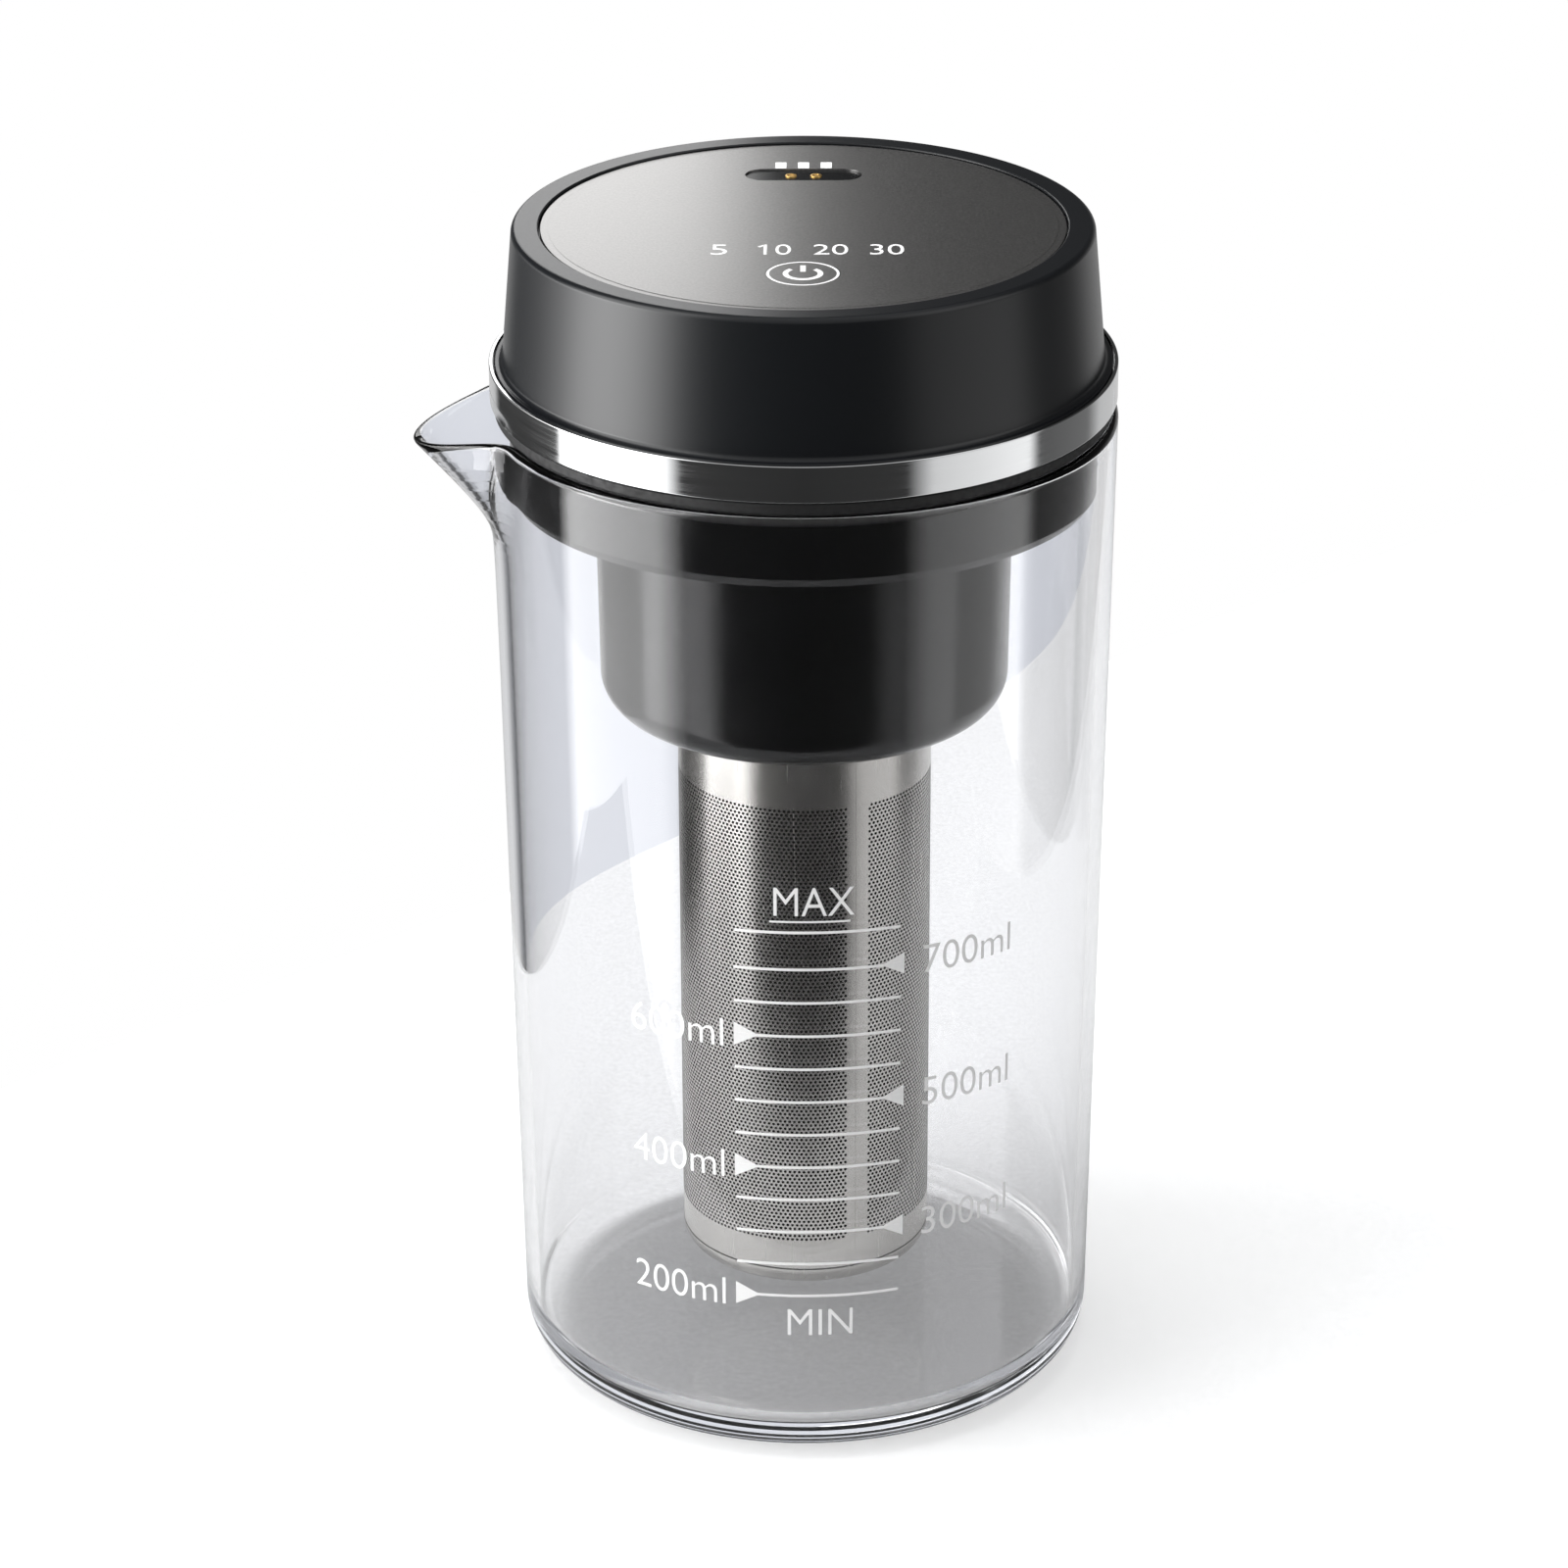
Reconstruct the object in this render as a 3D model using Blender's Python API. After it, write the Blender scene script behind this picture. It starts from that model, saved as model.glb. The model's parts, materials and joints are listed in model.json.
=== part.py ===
"""Cold brew coffee maker: glass jug, battery lid with stirrer drive, steel filter.

The jug stands on its foot at the origin, its axis is Z and its spout points to -X.
The lid plugs into the jug. Below the lid hang the motor cup and, held by a bayonet,
the filter tube with the stirrer inside. Every size is in metres.
"""
import math

import bmesh
import bpy
from mathutils import Matrix, Vector

# Gaps and mesh steps shared by all pieces
FIT_GAP = 0.0003            # between pieces that touch
CUT_OVERRUN = 0.0006        # how far a cutter runs past the face it opens
UNION_BITE = 0.0006         # how deep a boss reaches into the wall it grows from
WELD_DISTANCE = 0.000001
LARGE_STEPS = 48
MEDIUM_STEPS = 32
SMALL_STEPS = 12
ARC_STEPS = 3
SMOOTH_ANGLE = math.radians(32)
FULL_TURN = 2 * math.pi
QUARTER_TURN = math.pi / 2

# Glass jug
JUG_HEIGHT = 0.1770
JUG_RIM_RADIUS = 0.0532
JUG_TAPER = 0.0026          # how much narrower the foot is than the rim
GLASS_WALL = 0.0023
GLASS_FLOOR = 0.0050
FOOT_ROUNDING = 0.0080
INNER_FOOT_ROUNDING = 0.0060
JUG_STEPS = 64

# Spout, drawn out of the rim towards -X
SPOUT_REACH = 0.0138        # how far the lip stands out past the rim
SPOUT_DIP = 0.0051          # how far the lip lies below the rim
SPOUT_ROOT_DEPTH = 0.0196   # how far below the rim the beak starts to lean out
SPOUT_FADE_DEPTH = 0.0470   # how far below the rim the wall is straight again
SPOUT_BLEND = 0.0019        # size of the bend between wall and beak
SPOUT_HALF_ANGLE = math.radians(28)
SPOUT_ROOT_WIDTH_SHARE = 0.60
SPOUT_SIDE_POWER = 3.9      # higher makes a sharper beak
SPOUT_DIP_POWER = 3.0
SPOUT_COLUMN_POWER = 1.35   # above 1 the columns of faces crowd towards the spout
SPOUT_LEVEL_SHARES = (0.0, 0.40, 0.52, 0.60, 0.68, 0.78, 0.89)

# Gasket between lid and rim, with a skirt inside the glass
GASKET_INSET = 0.0009       # from the glass's outer side
GASKET_THICK = 0.0019
GASKET_SKIRT_DEPTH = 0.0024

# Steel band
BAND_INSET = 0.0002         # from the glass's outer side
BAND_WALL = 0.0006
BAND_HEIGHT = 0.0063

# Lid base with its plug
PLUG_CLEARANCE = 0.0011     # between plug and glass
PLUG_WALL = 0.0022
PLUG_FLOOR = 0.0020
PLUG_DEPTH = 0.01575        # from the band's lower edge to the plug's lower face
PLUG_CHAMFER_WIDTH = 0.0008
PLUG_CHAMFER_HEIGHT = 0.00165
LID_FLANGE_THICK = 0.0022

# Lid housing, from the ledge on the band up to the rim round the plate
HOUSING_HEIGHT = 0.0234
HOUSING_TAPER = 0.0019      # how much narrower its top is than its foot
HOUSING_RIM_WIDTH = 0.0046
HOUSING_WALL = 0.0020
HOUSING_DECK = 0.0020
HOUSING_EDGE_ROUNDING = 0.0010
LEDGE_WIDTH = 0.0023
LEDGE_FILLET = 0.0009

# Lid screws, reached from the top before the plate is glued in
POST_WALL_CLEARANCE = 0.0040    # from a screw post to the plug's wall
POST_CELL_CLEARANCE = 0.0030    # from a screw post to the battery beside it
LID_SCREW_HEAD_RADIUS = 0.0024
LID_SCREW_HEAD_HEIGHT = 0.0020
LID_SCREW_SHANK_RADIUS = 0.0013
LID_SCREW_LENGTH = 0.0110
SCREW_WELL_WALL = 0.0009
SCREW_WELL_SHELF = 0.0030
POST_REACH = 0.0204         # from the plug's floor to the top of the screw posts

# Face plate
PLATE_THICK = 0.0008
PLATE_SINK = 0.0003         # plate's face below the housing's rim

# Power key
KEY_BAR_GAP = 0.0032        # between the key and the light bar
KEY_RADIUS = 0.0060
KEY_THICK = 0.0012
KEY_TRAVEL = 0.0008
KEY_EDGE = 0.0003
KEY_STEM_RADIUS = 0.0020
PLUNGER_RADIUS = 0.0016
PLUNGER_PROUD = 0.0014
PLUNGER_SUNK = 0.0015
SWITCH_SIDE = 0.0062
SWITCH_HEIGHT = 0.0036

# Charging port
PORT_WINDOW_GAP = 0.0004    # between the port and the windows beyond it
PORT_LENGTH = 0.0200        # of its opening in the plate
PORT_WIDTH = 0.0064
PORT_SINK = 0.0003
CONTACT_RADIUS = 0.0010
CONTACT_SPACING = 0.0043

# Battery level windows and the light bar below the time numbers
WINDOW_WIDTH = 0.0019
WINDOW_LENGTH = 0.0032
WINDOW_PITCH = 0.0039
WINDOW_COUNT = 3
WINDOW_PLACE_SHARE = 0.729          # of the plate's radius
LIGHT_BAR_LENGTH_SHARE = 0.7745     # of the plate's radius
LIGHT_BAR_PLACE_SHARE = 0.3052      # of the plate's radius
LIGHT_BAR_WIDTH = 0.0060
TIME_LIGHT_COUNT = 4
TIME_LIGHT_PITCH_SHARE = 0.2765     # of the light bar's length
PIPE_BASE = 0.0012
LED_SIDE = 0.0016
LED_INSET = 0.0002
LED_STRIP_THICK = 0.0004
LED_HEIGHT = 0.0008

# Control board, hung from four bosses below the deck
BOARD_CLEARANCE = 0.0009    # between the board and the screw wells
BOARD_THICK = 0.0016
BOARD_BOSS_HEIGHT = 0.0090
BOARD_BOSS_RADIUS = 0.0024
BOARD_SCREW_INSET = 0.0037
BOARD_SCREW_ANGLE = math.radians(20)
BOARD_SCREW_SHANK_RADIUS = 0.0010
BOARD_SCREW_HEAD_RADIUS = 0.0019
BOARD_SCREW_HEAD_HEIGHT = 0.0014
BOARD_SCREW_LENGTH = 0.0060
CHIP_SIDE = 0.0100
CHIP_HEIGHT = 0.0014
CHOKE_RADIUS = 0.0032
CHOKE_HEIGHT = 0.0040
CHIP_PLACE = (-0.0120, 0.0060)
CHOKE_PLACE = (0.0130, -0.0040)

# Battery
CELL_RADIUS = 0.0091
CELL_EDGE = 0.0008
CELL_COUNT = 2
HOLDER_CORNER_CLEARANCE = 0.0095    # from the holder's corner to the plug's wall, along X
HOLDER_FLOOR = 0.0015
HOLDER_END_WALL = 0.0014
HOLDER_WALL_HEIGHT = 0.0130

# Motor cup below the plug
CUP_HEADROOM = 0.00255      # above the motor's end cap
CUP_TAPER = 0.0004          # how much narrower its foot is than its top
CUP_WALL = 0.0022
CUP_FLOOR = 0.0022
CUP_ROUNDING = 0.0060
CUP_SEAL_THICK = 0.0010
CUP_SEAL_INSET = 0.0005     # from the cup's inner side
WELL_DEPTH = 0.0097
WELL_ROOF = 0.0020
CUP_SCREW_ANGLE = math.radians(70)
CUP_SCREW_BOSS_GAP = 0.0004     # between a boss and the seal
CUP_SCREW_BOSS_RADIUS = 0.0032
CUP_SCREW_BOSS_HEIGHT = 0.0150
CUP_SCREW_SHANK_RADIUS = 0.0013
CUP_SCREW_HEAD_RADIUS = 0.0024
CUP_SCREW_HEAD_HEIGHT = 0.0018
CUP_SCREW_LENGTH = 0.0100
PILLAR_RADIUS = 0.0025
PILLAR_CLEARANCE = 0.0007   # from a pillar to the well's wall
PILLAR_COUNT = 3

# Motor and its plate
MOTOR_RADIUS = 0.0120
MOTOR_LENGTH = 0.0190
MOTOR_EDGE = 0.0010
MOTOR_BORE_DEPTH = 0.0035
MOTOR_CAP_RADIUS = 0.0110
MOTOR_CAP_HEIGHT = 0.0025
MOTOR_PLATE_THICK = 0.0015
MOTOR_PLATE_MARGIN = 0.0007
MOTOR_SCREW_CIRCLE = 0.0080
MOTOR_SCREW_RADIUS = 0.0010
MOTOR_SCREW_DEPTH = 0.0030
SCREW_HEAD_SHARE = 1.8      # head radius of a small screw over its shank radius
SMALL_HEAD_HEIGHT = 0.0012
PLATE_SCREW_LENGTH = 0.0060

# Shaft, bush, seal and stirrer
SHAFT_RADIUS = 0.0020
BUSH_WALL = 0.0017
SHAFT_SEAL_RADIUS = 0.0065
SHAFT_SEAL_THICK = 0.0015
SHAFT_DROP = 0.0040         # how far the drive shaft reaches below the cup
COUPLING_RADIUS = 0.0042
COUPLING_LENGTH = 0.0120
IMPELLER_LIFT = 0.0090      # impeller's underside above the filter's floor
IMPELLER_HUB_RADIUS = 0.0050
IMPELLER_HUB_HEIGHT = 0.0120
IMPELLER_HUB_FLOOR = 0.0012
BLADE_TIP_CLEARANCE = 0.0045
BLADE_THICK = 0.0012
BLADE_HEIGHT = 0.0095
BLADE_COUNT = 4
BLADE_PITCH = math.radians(32)

# Bayonet that holds the filter in the cup's well
SOCKET_WALL = 0.0020
SOCKET_CLEARANCE = 0.0001   # how much wider its bore is than the tube
LIP_LIFT = 0.0028           # lip's underside above the cup's lower face
LIP_THICK = 0.0024
LIP_REACH = 0.0028
LUG_THICK = 0.0018
LUG_CLEARANCE = 0.0006      # between a lug's tip and the socket's wall
LUG_COUNT = 3
LUG_ANGLE = math.radians(18)
LUG_PLAY_ANGLE = math.radians(4)
TWIST_ANGLE = math.radians(40)
STOP_ANGLE = math.radians(4)
STOP_GAP_ANGLE = math.radians(1)
NECK_CLEARANCE = 0.0004
NECK_WALL = 0.0020
FILTER_SEAL_THICK = 0.0014
FILTER_SEAL_WIDTH = 0.0030

# Filter
TUBE_RADIUS = 0.0220
TUBE_WALL = 0.0005
FILTER_FLOOR_CLEARANCE = 0.0137     # between the filter's foot and the jug's floor
COLLAR_SKIRT_DEPTH = 0.0080
CAP_HEIGHT = 0.0035         # the part of the base cap that shows below the tube
CAP_WALL = 0.0009
CAP_SPIGOT_HEIGHT = 0.0050
CAP_ROUNDING = 0.0032

# Internal leads
LEAD_RADIUS = 0.0009
LEAD_HOLE_RADIUS = 0.0032
LEAD_HOLE_CLEARANCE = 0.0025    # from the hole's edge to the battery
LEAD_BEND = 0.0024
LEAD_STEPS = 4

# Heights worked out from the stack, bottom to top
CUP_HEIGHT = (WELL_DEPTH + WELL_ROOF + MOTOR_PLATE_THICK + MOTOR_LENGTH + MOTOR_CAP_HEIGHT
              + 3 * FIT_GAP + CUP_HEADROOM)
GASKET_Z = JUG_HEIGHT + FIT_GAP
BAND_Z = GASKET_Z + GASKET_THICK + FIT_GAP
LEDGE_Z = BAND_Z + BAND_HEIGHT
HOUSING_TOP_Z = LEDGE_Z + HOUSING_HEIGHT
PLATE_TOP_Z = HOUSING_TOP_Z - PLATE_SINK
PLATE_Z = PLATE_TOP_Z - PLATE_THICK
DECK_TOP_Z = PLATE_Z - FIT_GAP
DECK_Z = DECK_TOP_Z - HOUSING_DECK
PLUG_Z = BAND_Z - PLUG_DEPTH
PLUG_FLOOR_Z = PLUG_Z + PLUG_FLOOR
BOARD_Z = DECK_Z - BOARD_BOSS_HEIGHT - FIT_GAP - BOARD_THICK
BOARD_TOP_Z = BOARD_Z + BOARD_THICK
ON_BOARD_Z = BOARD_TOP_Z + FIT_GAP
CUP_SEAL_Z = PLUG_Z - FIT_GAP - CUP_SEAL_THICK
CUP_TOP_Z = CUP_SEAL_Z - FIT_GAP
CUP_Z = CUP_TOP_Z - CUP_HEIGHT
WELL_ROOF_Z = CUP_Z + WELL_DEPTH
PILLAR_TOP_Z = WELL_ROOF_Z + WELL_ROOF
MOTOR_PLATE_Z = PILLAR_TOP_Z + FIT_GAP
MOTOR_Z = MOTOR_PLATE_Z + MOTOR_PLATE_THICK + FIT_GAP
MOTOR_CAP_Z = MOTOR_Z + MOTOR_LENGTH + FIT_GAP
TUBE_TOP_Z = CUP_Z - FIT_GAP
CAP_Z = GLASS_FLOOR + FILTER_FLOOR_CLEARANCE
TUBE_Z = CAP_Z + CAP_HEIGHT + FIT_GAP
TUBE_LENGTH = TUBE_TOP_Z - TUBE_Z
LIP_Z = CUP_Z + LIP_LIFT
LUG_Z = LIP_Z + LIP_THICK + FIT_GAP
FILTER_SEAL_Z = WELL_ROOF_Z - FIT_GAP - FILTER_SEAL_THICK
NECK_TOP_Z = FILTER_SEAL_Z - FIT_GAP
COUPLING_Z = CUP_Z - SHAFT_DROP
IMPELLER_Z = CAP_Z + CAP_WALL + IMPELLER_LIFT
KEY_Z = PLATE_TOP_Z - KEY_THICK
SWITCH_TOP_Z = ON_BOARD_Z + SWITCH_HEIGHT
POST_TOP_Z = PLUG_FLOOR_Z + POST_REACH
SCREW_WELL_Z = POST_TOP_Z + FIT_GAP
LID_SCREW_HEAD_Z = SCREW_WELL_Z + SCREW_WELL_SHELF + FIT_GAP

# Radii that follow from the jug's rim, outer pieces first
JUG_FOOT_RADIUS = JUG_RIM_RADIUS - JUG_TAPER
GASKET_RADIUS = JUG_RIM_RADIUS - GASKET_INSET
BAND_RADIUS = JUG_RIM_RADIUS - BAND_INSET
BAND_INNER_RADIUS = BAND_RADIUS - BAND_WALL
LID_FLANGE_RADIUS = BAND_INNER_RADIUS - FIT_GAP
PLUG_RADIUS = JUG_RIM_RADIUS - GLASS_WALL - PLUG_CLEARANCE
PLUG_INNER_RADIUS = PLUG_RADIUS - PLUG_WALL
HOUSING_FOOT_RADIUS = BAND_RADIUS - LEDGE_WIDTH
HOUSING_TOP_RADIUS = HOUSING_FOOT_RADIUS - HOUSING_TAPER
PLATE_RECESS_RADIUS = HOUSING_TOP_RADIUS - HOUSING_RIM_WIDTH
PLATE_RADIUS = PLATE_RECESS_RADIUS - FIT_GAP

# Battery, screw posts and board, packed inside the plug
HOLDER_HALF_WIDTH = CELL_COUNT * (CELL_RADIUS + FIT_GAP)
HOLDER_HALF_LENGTH = math.sqrt(PLUG_INNER_RADIUS ** 2 - HOLDER_HALF_WIDTH ** 2) \
    - HOLDER_CORNER_CLEARANCE
CELL_LENGTH = 2 * (HOLDER_HALF_LENGTH - HOLDER_END_WALL - FIT_GAP)
SCREW_WELL_BORE = LID_SCREW_HEAD_RADIUS + FIT_GAP
SCREW_WELL_RADIUS = SCREW_WELL_BORE + SCREW_WELL_WALL
LID_SCREW_CIRCLE = PLUG_INNER_RADIUS - POST_WALL_CLEARANCE - SCREW_WELL_RADIUS
LID_SCREW_PLACE_Y = HOLDER_HALF_WIDTH + POST_CELL_CLEARANCE + SCREW_WELL_RADIUS
LID_SCREW_ANGLE = math.asin(LID_SCREW_PLACE_Y / LID_SCREW_CIRCLE)
BOARD_RADIUS = LID_SCREW_CIRCLE - SCREW_WELL_RADIUS - BOARD_CLEARANCE
BOARD_SCREW_CIRCLE = BOARD_RADIUS - BOARD_SCREW_INSET
LEAD_PLACE_Y = HOLDER_HALF_WIDTH + LEAD_HOLE_CLEARANCE + LEAD_HOLE_RADIUS

# Layout of the face plate
WINDOW_PLACE_Y = WINDOW_PLACE_SHARE * PLATE_RADIUS
PORT_PLACE_Y = WINDOW_PLACE_Y - WINDOW_LENGTH / 2 - PORT_WINDOW_GAP - PORT_WIDTH / 2
LIGHT_BAR_PLACE_Y = -LIGHT_BAR_PLACE_SHARE * PLATE_RADIUS
LIGHT_BAR_LENGTH = LIGHT_BAR_LENGTH_SHARE * PLATE_RADIUS
TIME_LIGHT_PITCH = TIME_LIGHT_PITCH_SHARE * LIGHT_BAR_LENGTH
KEY_PLACE_Y = LIGHT_BAR_PLACE_Y - LIGHT_BAR_WIDTH / 2 - KEY_BAR_GAP - KEY_RADIUS

# Radii that follow from the shaft and the filter tube
BUSH_RADIUS = SHAFT_RADIUS + FIT_GAP + BUSH_WALL
BUSH_HOLE_RADIUS = BUSH_RADIUS + FIT_GAP
SHAFT_HOLE_RADIUS = SHAFT_RADIUS + FIT_GAP
SOCKET_INNER_RADIUS = TUBE_RADIUS + SOCKET_CLEARANCE
SOCKET_RADIUS = SOCKET_INNER_RADIUS + SOCKET_WALL
WELL_RADIUS = SOCKET_RADIUS + FIT_GAP
WELL_OUTER_RADIUS = WELL_RADIUS + CUP_WALL
PILLAR_CIRCLE = WELL_OUTER_RADIUS + PILLAR_CLEARANCE + PILLAR_RADIUS
MOTOR_PLATE_RADIUS = PILLAR_CIRCLE + PILLAR_RADIUS
CUP_FOOT_RADIUS = MOTOR_PLATE_RADIUS + MOTOR_PLATE_MARGIN + CUP_WALL
CUP_RADIUS = CUP_FOOT_RADIUS + CUP_TAPER
CUP_SEAL_INNER_RADIUS = CUP_RADIUS - CUP_WALL + CUP_SEAL_INSET
CUP_SCREW_CIRCLE = CUP_SEAL_INNER_RADIUS - CUP_SCREW_BOSS_GAP - CUP_SCREW_BOSS_RADIUS
LIP_INNER_RADIUS = SOCKET_INNER_RADIUS - LIP_REACH
NECK_RADIUS = LIP_INNER_RADIUS - NECK_CLEARANCE
NECK_INNER_RADIUS = NECK_RADIUS - NECK_WALL
LUG_TIP_RADIUS = SOCKET_INNER_RADIUS - LUG_CLEARANCE
TUBE_INNER_RADIUS = TUBE_RADIUS - TUBE_WALL
COLLAR_RADIUS = TUBE_INNER_RADIUS - FIT_GAP

# Colours as sRGB hex, with roughness and metallic value
FINISHES = {
    "clear_glass": ("E6EAEA", 0.03, 0.0),
    "black_abs": ("17181A", 0.42, 0.0),
    "gloss_black_abs": ("0E0F11", 0.12, 0.0),
    "satin_steel": ("B9BABC", 0.34, 1.0),
    "bright_steel": ("D2D3D4", 0.10, 1.0),
    "brushed_steel": ("C4C5C6", 0.26, 1.0),
    "black_silicone": ("1B1B1C", 0.62, 0.0),
    "grey_silicone": ("8F9193", 0.60, 0.0),
    "gilt": ("D9A441", 0.22, 1.0),
    "zinc_screw": ("A9ACAE", 0.32, 1.0),
    "board_green": ("1F5A38", 0.50, 0.0),
    "chip_black": ("202124", 0.55, 0.0),
    "light_pipe": ("F3F4F4", 0.25, 0.0),
    "cell_wrap": ("2F6FB0", 0.40, 0.0),
    "holder_nylon": ("3A3B3D", 0.55, 0.0),
    "bronze": ("9C6B3A", 0.30, 1.0),
    "motor_nylon": ("E9E4D4", 0.50, 0.0),
    "wire_red": ("B3261E", 0.45, 0.0),
}


def srgb_to_linear(value):
    """One channel of a written colour as the shader wants it."""
    if value <= 0.04045:
        return value / 12.92
    return ((value + 0.055) / 1.055) ** 2.4


def material(name, finish):
    """A Principled material for one sub-part."""
    hex_colour, roughness, metallic = FINISHES[finish]
    channels = [int(hex_colour[i:i + 2], 16) / 255 for i in (0, 2, 4)]
    colour = [srgb_to_linear(c) for c in channels]
    result = bpy.data.materials.new(name)
    result.use_nodes = True
    shader = result.node_tree.nodes["Principled BSDF"]
    shader.inputs["Base Color"].default_value = (*colour, 1)
    shader.inputs["Roughness"].default_value = roughness
    shader.inputs["Metallic"].default_value = metallic
    result.diffuse_color = (*colour, 1)
    return result


# Scene objects

def clear_scene():
    for obj in list(bpy.data.objects):
        bpy.data.objects.remove(obj, do_unlink=True)


def frame_place(frame):
    """World position of a frame, summed up its chain of parents."""
    place = Vector((0, 0, 0))
    while frame is not None:
        place += frame.location
        frame = frame.parent
    return place


def add_frame(name, parent, at):
    """An empty on a body's own axis, which carries that body's pieces."""
    frame = bpy.data.objects.new(name, None)
    bpy.context.collection.objects.link(frame)
    frame.location = Vector(at) - frame_place(parent)
    frame.parent = parent
    return frame


def mesh_object(name, bm, at, frame):
    mesh = bpy.data.meshes.new(name)
    bm.to_mesh(mesh)
    bm.free()
    obj = bpy.data.objects.new(name, mesh)
    bpy.context.collection.objects.link(obj)
    obj.location = Vector(at) - frame_place(frame)
    obj.parent = frame
    return obj


def add_piece(name, bm, at, frame, finish):
    """One sub-part: its mesh is built about its own datum and placed at `at`."""
    obj = mesh_object(name, bm, at, frame)
    obj.data.materials.append(material(name, finish))
    obj.data.shade_smooth()
    obj.data.set_sharp_from_angle(angle=SMOOTH_ANGLE)
    return obj


def add_copies(name, bm, places, z, frame, finish):
    """Like pieces that share one mesh, numbered from 1."""
    first = add_piece(f"{name}_1", bm, (*places[0], z), frame, finish)
    for i, place in enumerate(places[1:], 2):
        copy = bpy.data.objects.new(f"{name}_{i}", first.data)
        bpy.context.collection.objects.link(copy)
        copy.location = Vector((*place, z)) - frame_place(frame)
        copy.parent = frame


def shape_with(target, name, bm, operation):
    """Adds a solid to a piece, or cuts it out, in the piece's own coordinates."""
    tool = mesh_object(name, bm, target.location, target.parent)
    tool.location = target.location
    tool.hide_render = True
    tool.display_type = "WIRE"
    modifier = target.modifiers.new(name, "BOOLEAN")
    modifier.operation = operation
    modifier.solver = "EXACT"
    modifier.object = tool


def unite(target, name, bm):
    shape_with(target, target.name + "_" + name, bm, "UNION")


def cut(target, name, bm):
    shape_with(target, target.name + "_" + name, bm, "DIFFERENCE")


# Solid shapes

def arc(centre, radius, start, end, steps=ARC_STEPS):
    """Points (r, z) of an arc in a turned profile, both ends included."""
    points = []
    for i in range(steps + 1):
        angle = start + (end - start) * i / steps
        points.append((centre[0] + radius * math.cos(angle), centre[1] + radius * math.sin(angle)))
    return points


def lathe(profile, steps=LARGE_STEPS):
    """Turns a profile of (r, z) points about Z. One that ends off the axis is a ring."""
    bm = bmesh.new()
    verts = [bm.verts.new((r, 0, z)) for r, z in profile]
    edges = [bm.edges.new(pair) for pair in zip(verts, verts[1:])]
    if profile[0][0] > 0 or profile[-1][0] > 0:
        edges.append(bm.edges.new((verts[-1], verts[0])))
    bmesh.ops.spin(bm, geom=verts + edges, cent=(0, 0, 0), axis=(0, 0, 1),
                   angle=FULL_TURN, steps=steps, use_merge=True)
    bmesh.ops.remove_doubles(bm, verts=bm.verts, dist=WELD_DISTANCE)
    bmesh.ops.recalc_face_normals(bm, faces=bm.faces)
    return bm


def ring(inner, outer, height, steps=LARGE_STEPS):
    return lathe([(inner, 0), (outer, 0), (outer, height), (inner, height)], steps)


def rod(bm, radius, low, high, x=0.0, y=0.0, steps=SMALL_STEPS):
    """A closed cylinder along Z, added to a mesh."""
    middle = Matrix.Translation((x, y, (low + high) / 2))
    bmesh.ops.create_cone(bm, cap_ends=True, segments=steps, radius1=radius, radius2=radius,
                          depth=high - low, matrix=middle)


def block(bm, size, centre, turn=None):
    """A closed box, added to a mesh."""
    matrix = Matrix.Translation(centre)
    if turn is not None:
        matrix = matrix @ turn
    bmesh.ops.create_cube(bm, size=1, matrix=matrix @ Matrix.Diagonal((*size, 1)))


def prism(outline, low, high):
    """Extrudes a flat outline of (x, y) points from one height to another."""
    bm = bmesh.new()
    face = bm.faces.new([bm.verts.new((x, y, low)) for x, y in outline])
    result = bmesh.ops.extrude_face_region(bm, geom=[face])
    raised = [item for item in result["geom"] if isinstance(item, bmesh.types.BMVert)]
    bmesh.ops.translate(bm, verts=raised, vec=(0, 0, high - low))
    bmesh.ops.recalc_face_normals(bm, faces=bm.faces)
    return bm


def pill_outline(length, width, centre_y):
    """A slot with round ends, its long side along X."""
    radius = width / 2
    reach = length / 2 - radius
    half = SMALL_STEPS // 2
    right = arc((reach, centre_y), radius, -QUARTER_TURN, QUARTER_TURN, half)
    left = arc((-reach, centre_y), radius, QUARTER_TURN, QUARTER_TURN + math.pi, half)
    return right + left


def add_sector(bm, radii, heights, start, end):
    """A closed piece of a ring between two angles, added to a mesh."""
    steps = max(2, round((end - start) / FULL_TURN * MEDIUM_STEPS))
    corners = [(radii[0], heights[0]), (radii[1], heights[0]),
               (radii[1], heights[1]), (radii[0], heights[1])]
    slices = []
    for i in range(steps + 1):
        angle = start + (end - start) * i / steps
        slices.append([bm.verts.new((r * math.cos(angle), r * math.sin(angle), z))
                       for r, z in corners])
    faces = [bm.faces.new(slices[0]), bm.faces.new(slices[-1])]
    for first, second in zip(slices, slices[1:]):
        for j in range(4):
            k = (j + 1) % 4
            faces.append(bm.faces.new((first[j], first[k], second[k], second[j])))
    bmesh.ops.recalc_face_normals(bm, faces=faces)


def round_pattern(count, radius, first=0.0):
    """Places (x, y) spaced evenly on a circle."""
    return [polar(radius, first + FULL_TURN * i / count) for i in range(count)]


def paired_places(radius, angle):
    """Four places (x, y) on a circle, a pair at each side, mirrored about X and Y."""
    x, y = polar(radius, angle)
    return [(x, y), (-x, y), (-x, -y), (x, -y)]


def polar(radius, angle):
    return radius * math.cos(angle), radius * math.sin(angle)


def screw(shank_radius, length, head_radius, head_height):
    """A screw with its head above z = 0 and its shank below."""
    return lathe([(0, -length), (shank_radius, -length), (shank_radius, 0),
                  (head_radius, 0), (head_radius, head_height), (0, head_height)], SMALL_STEPS)


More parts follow.
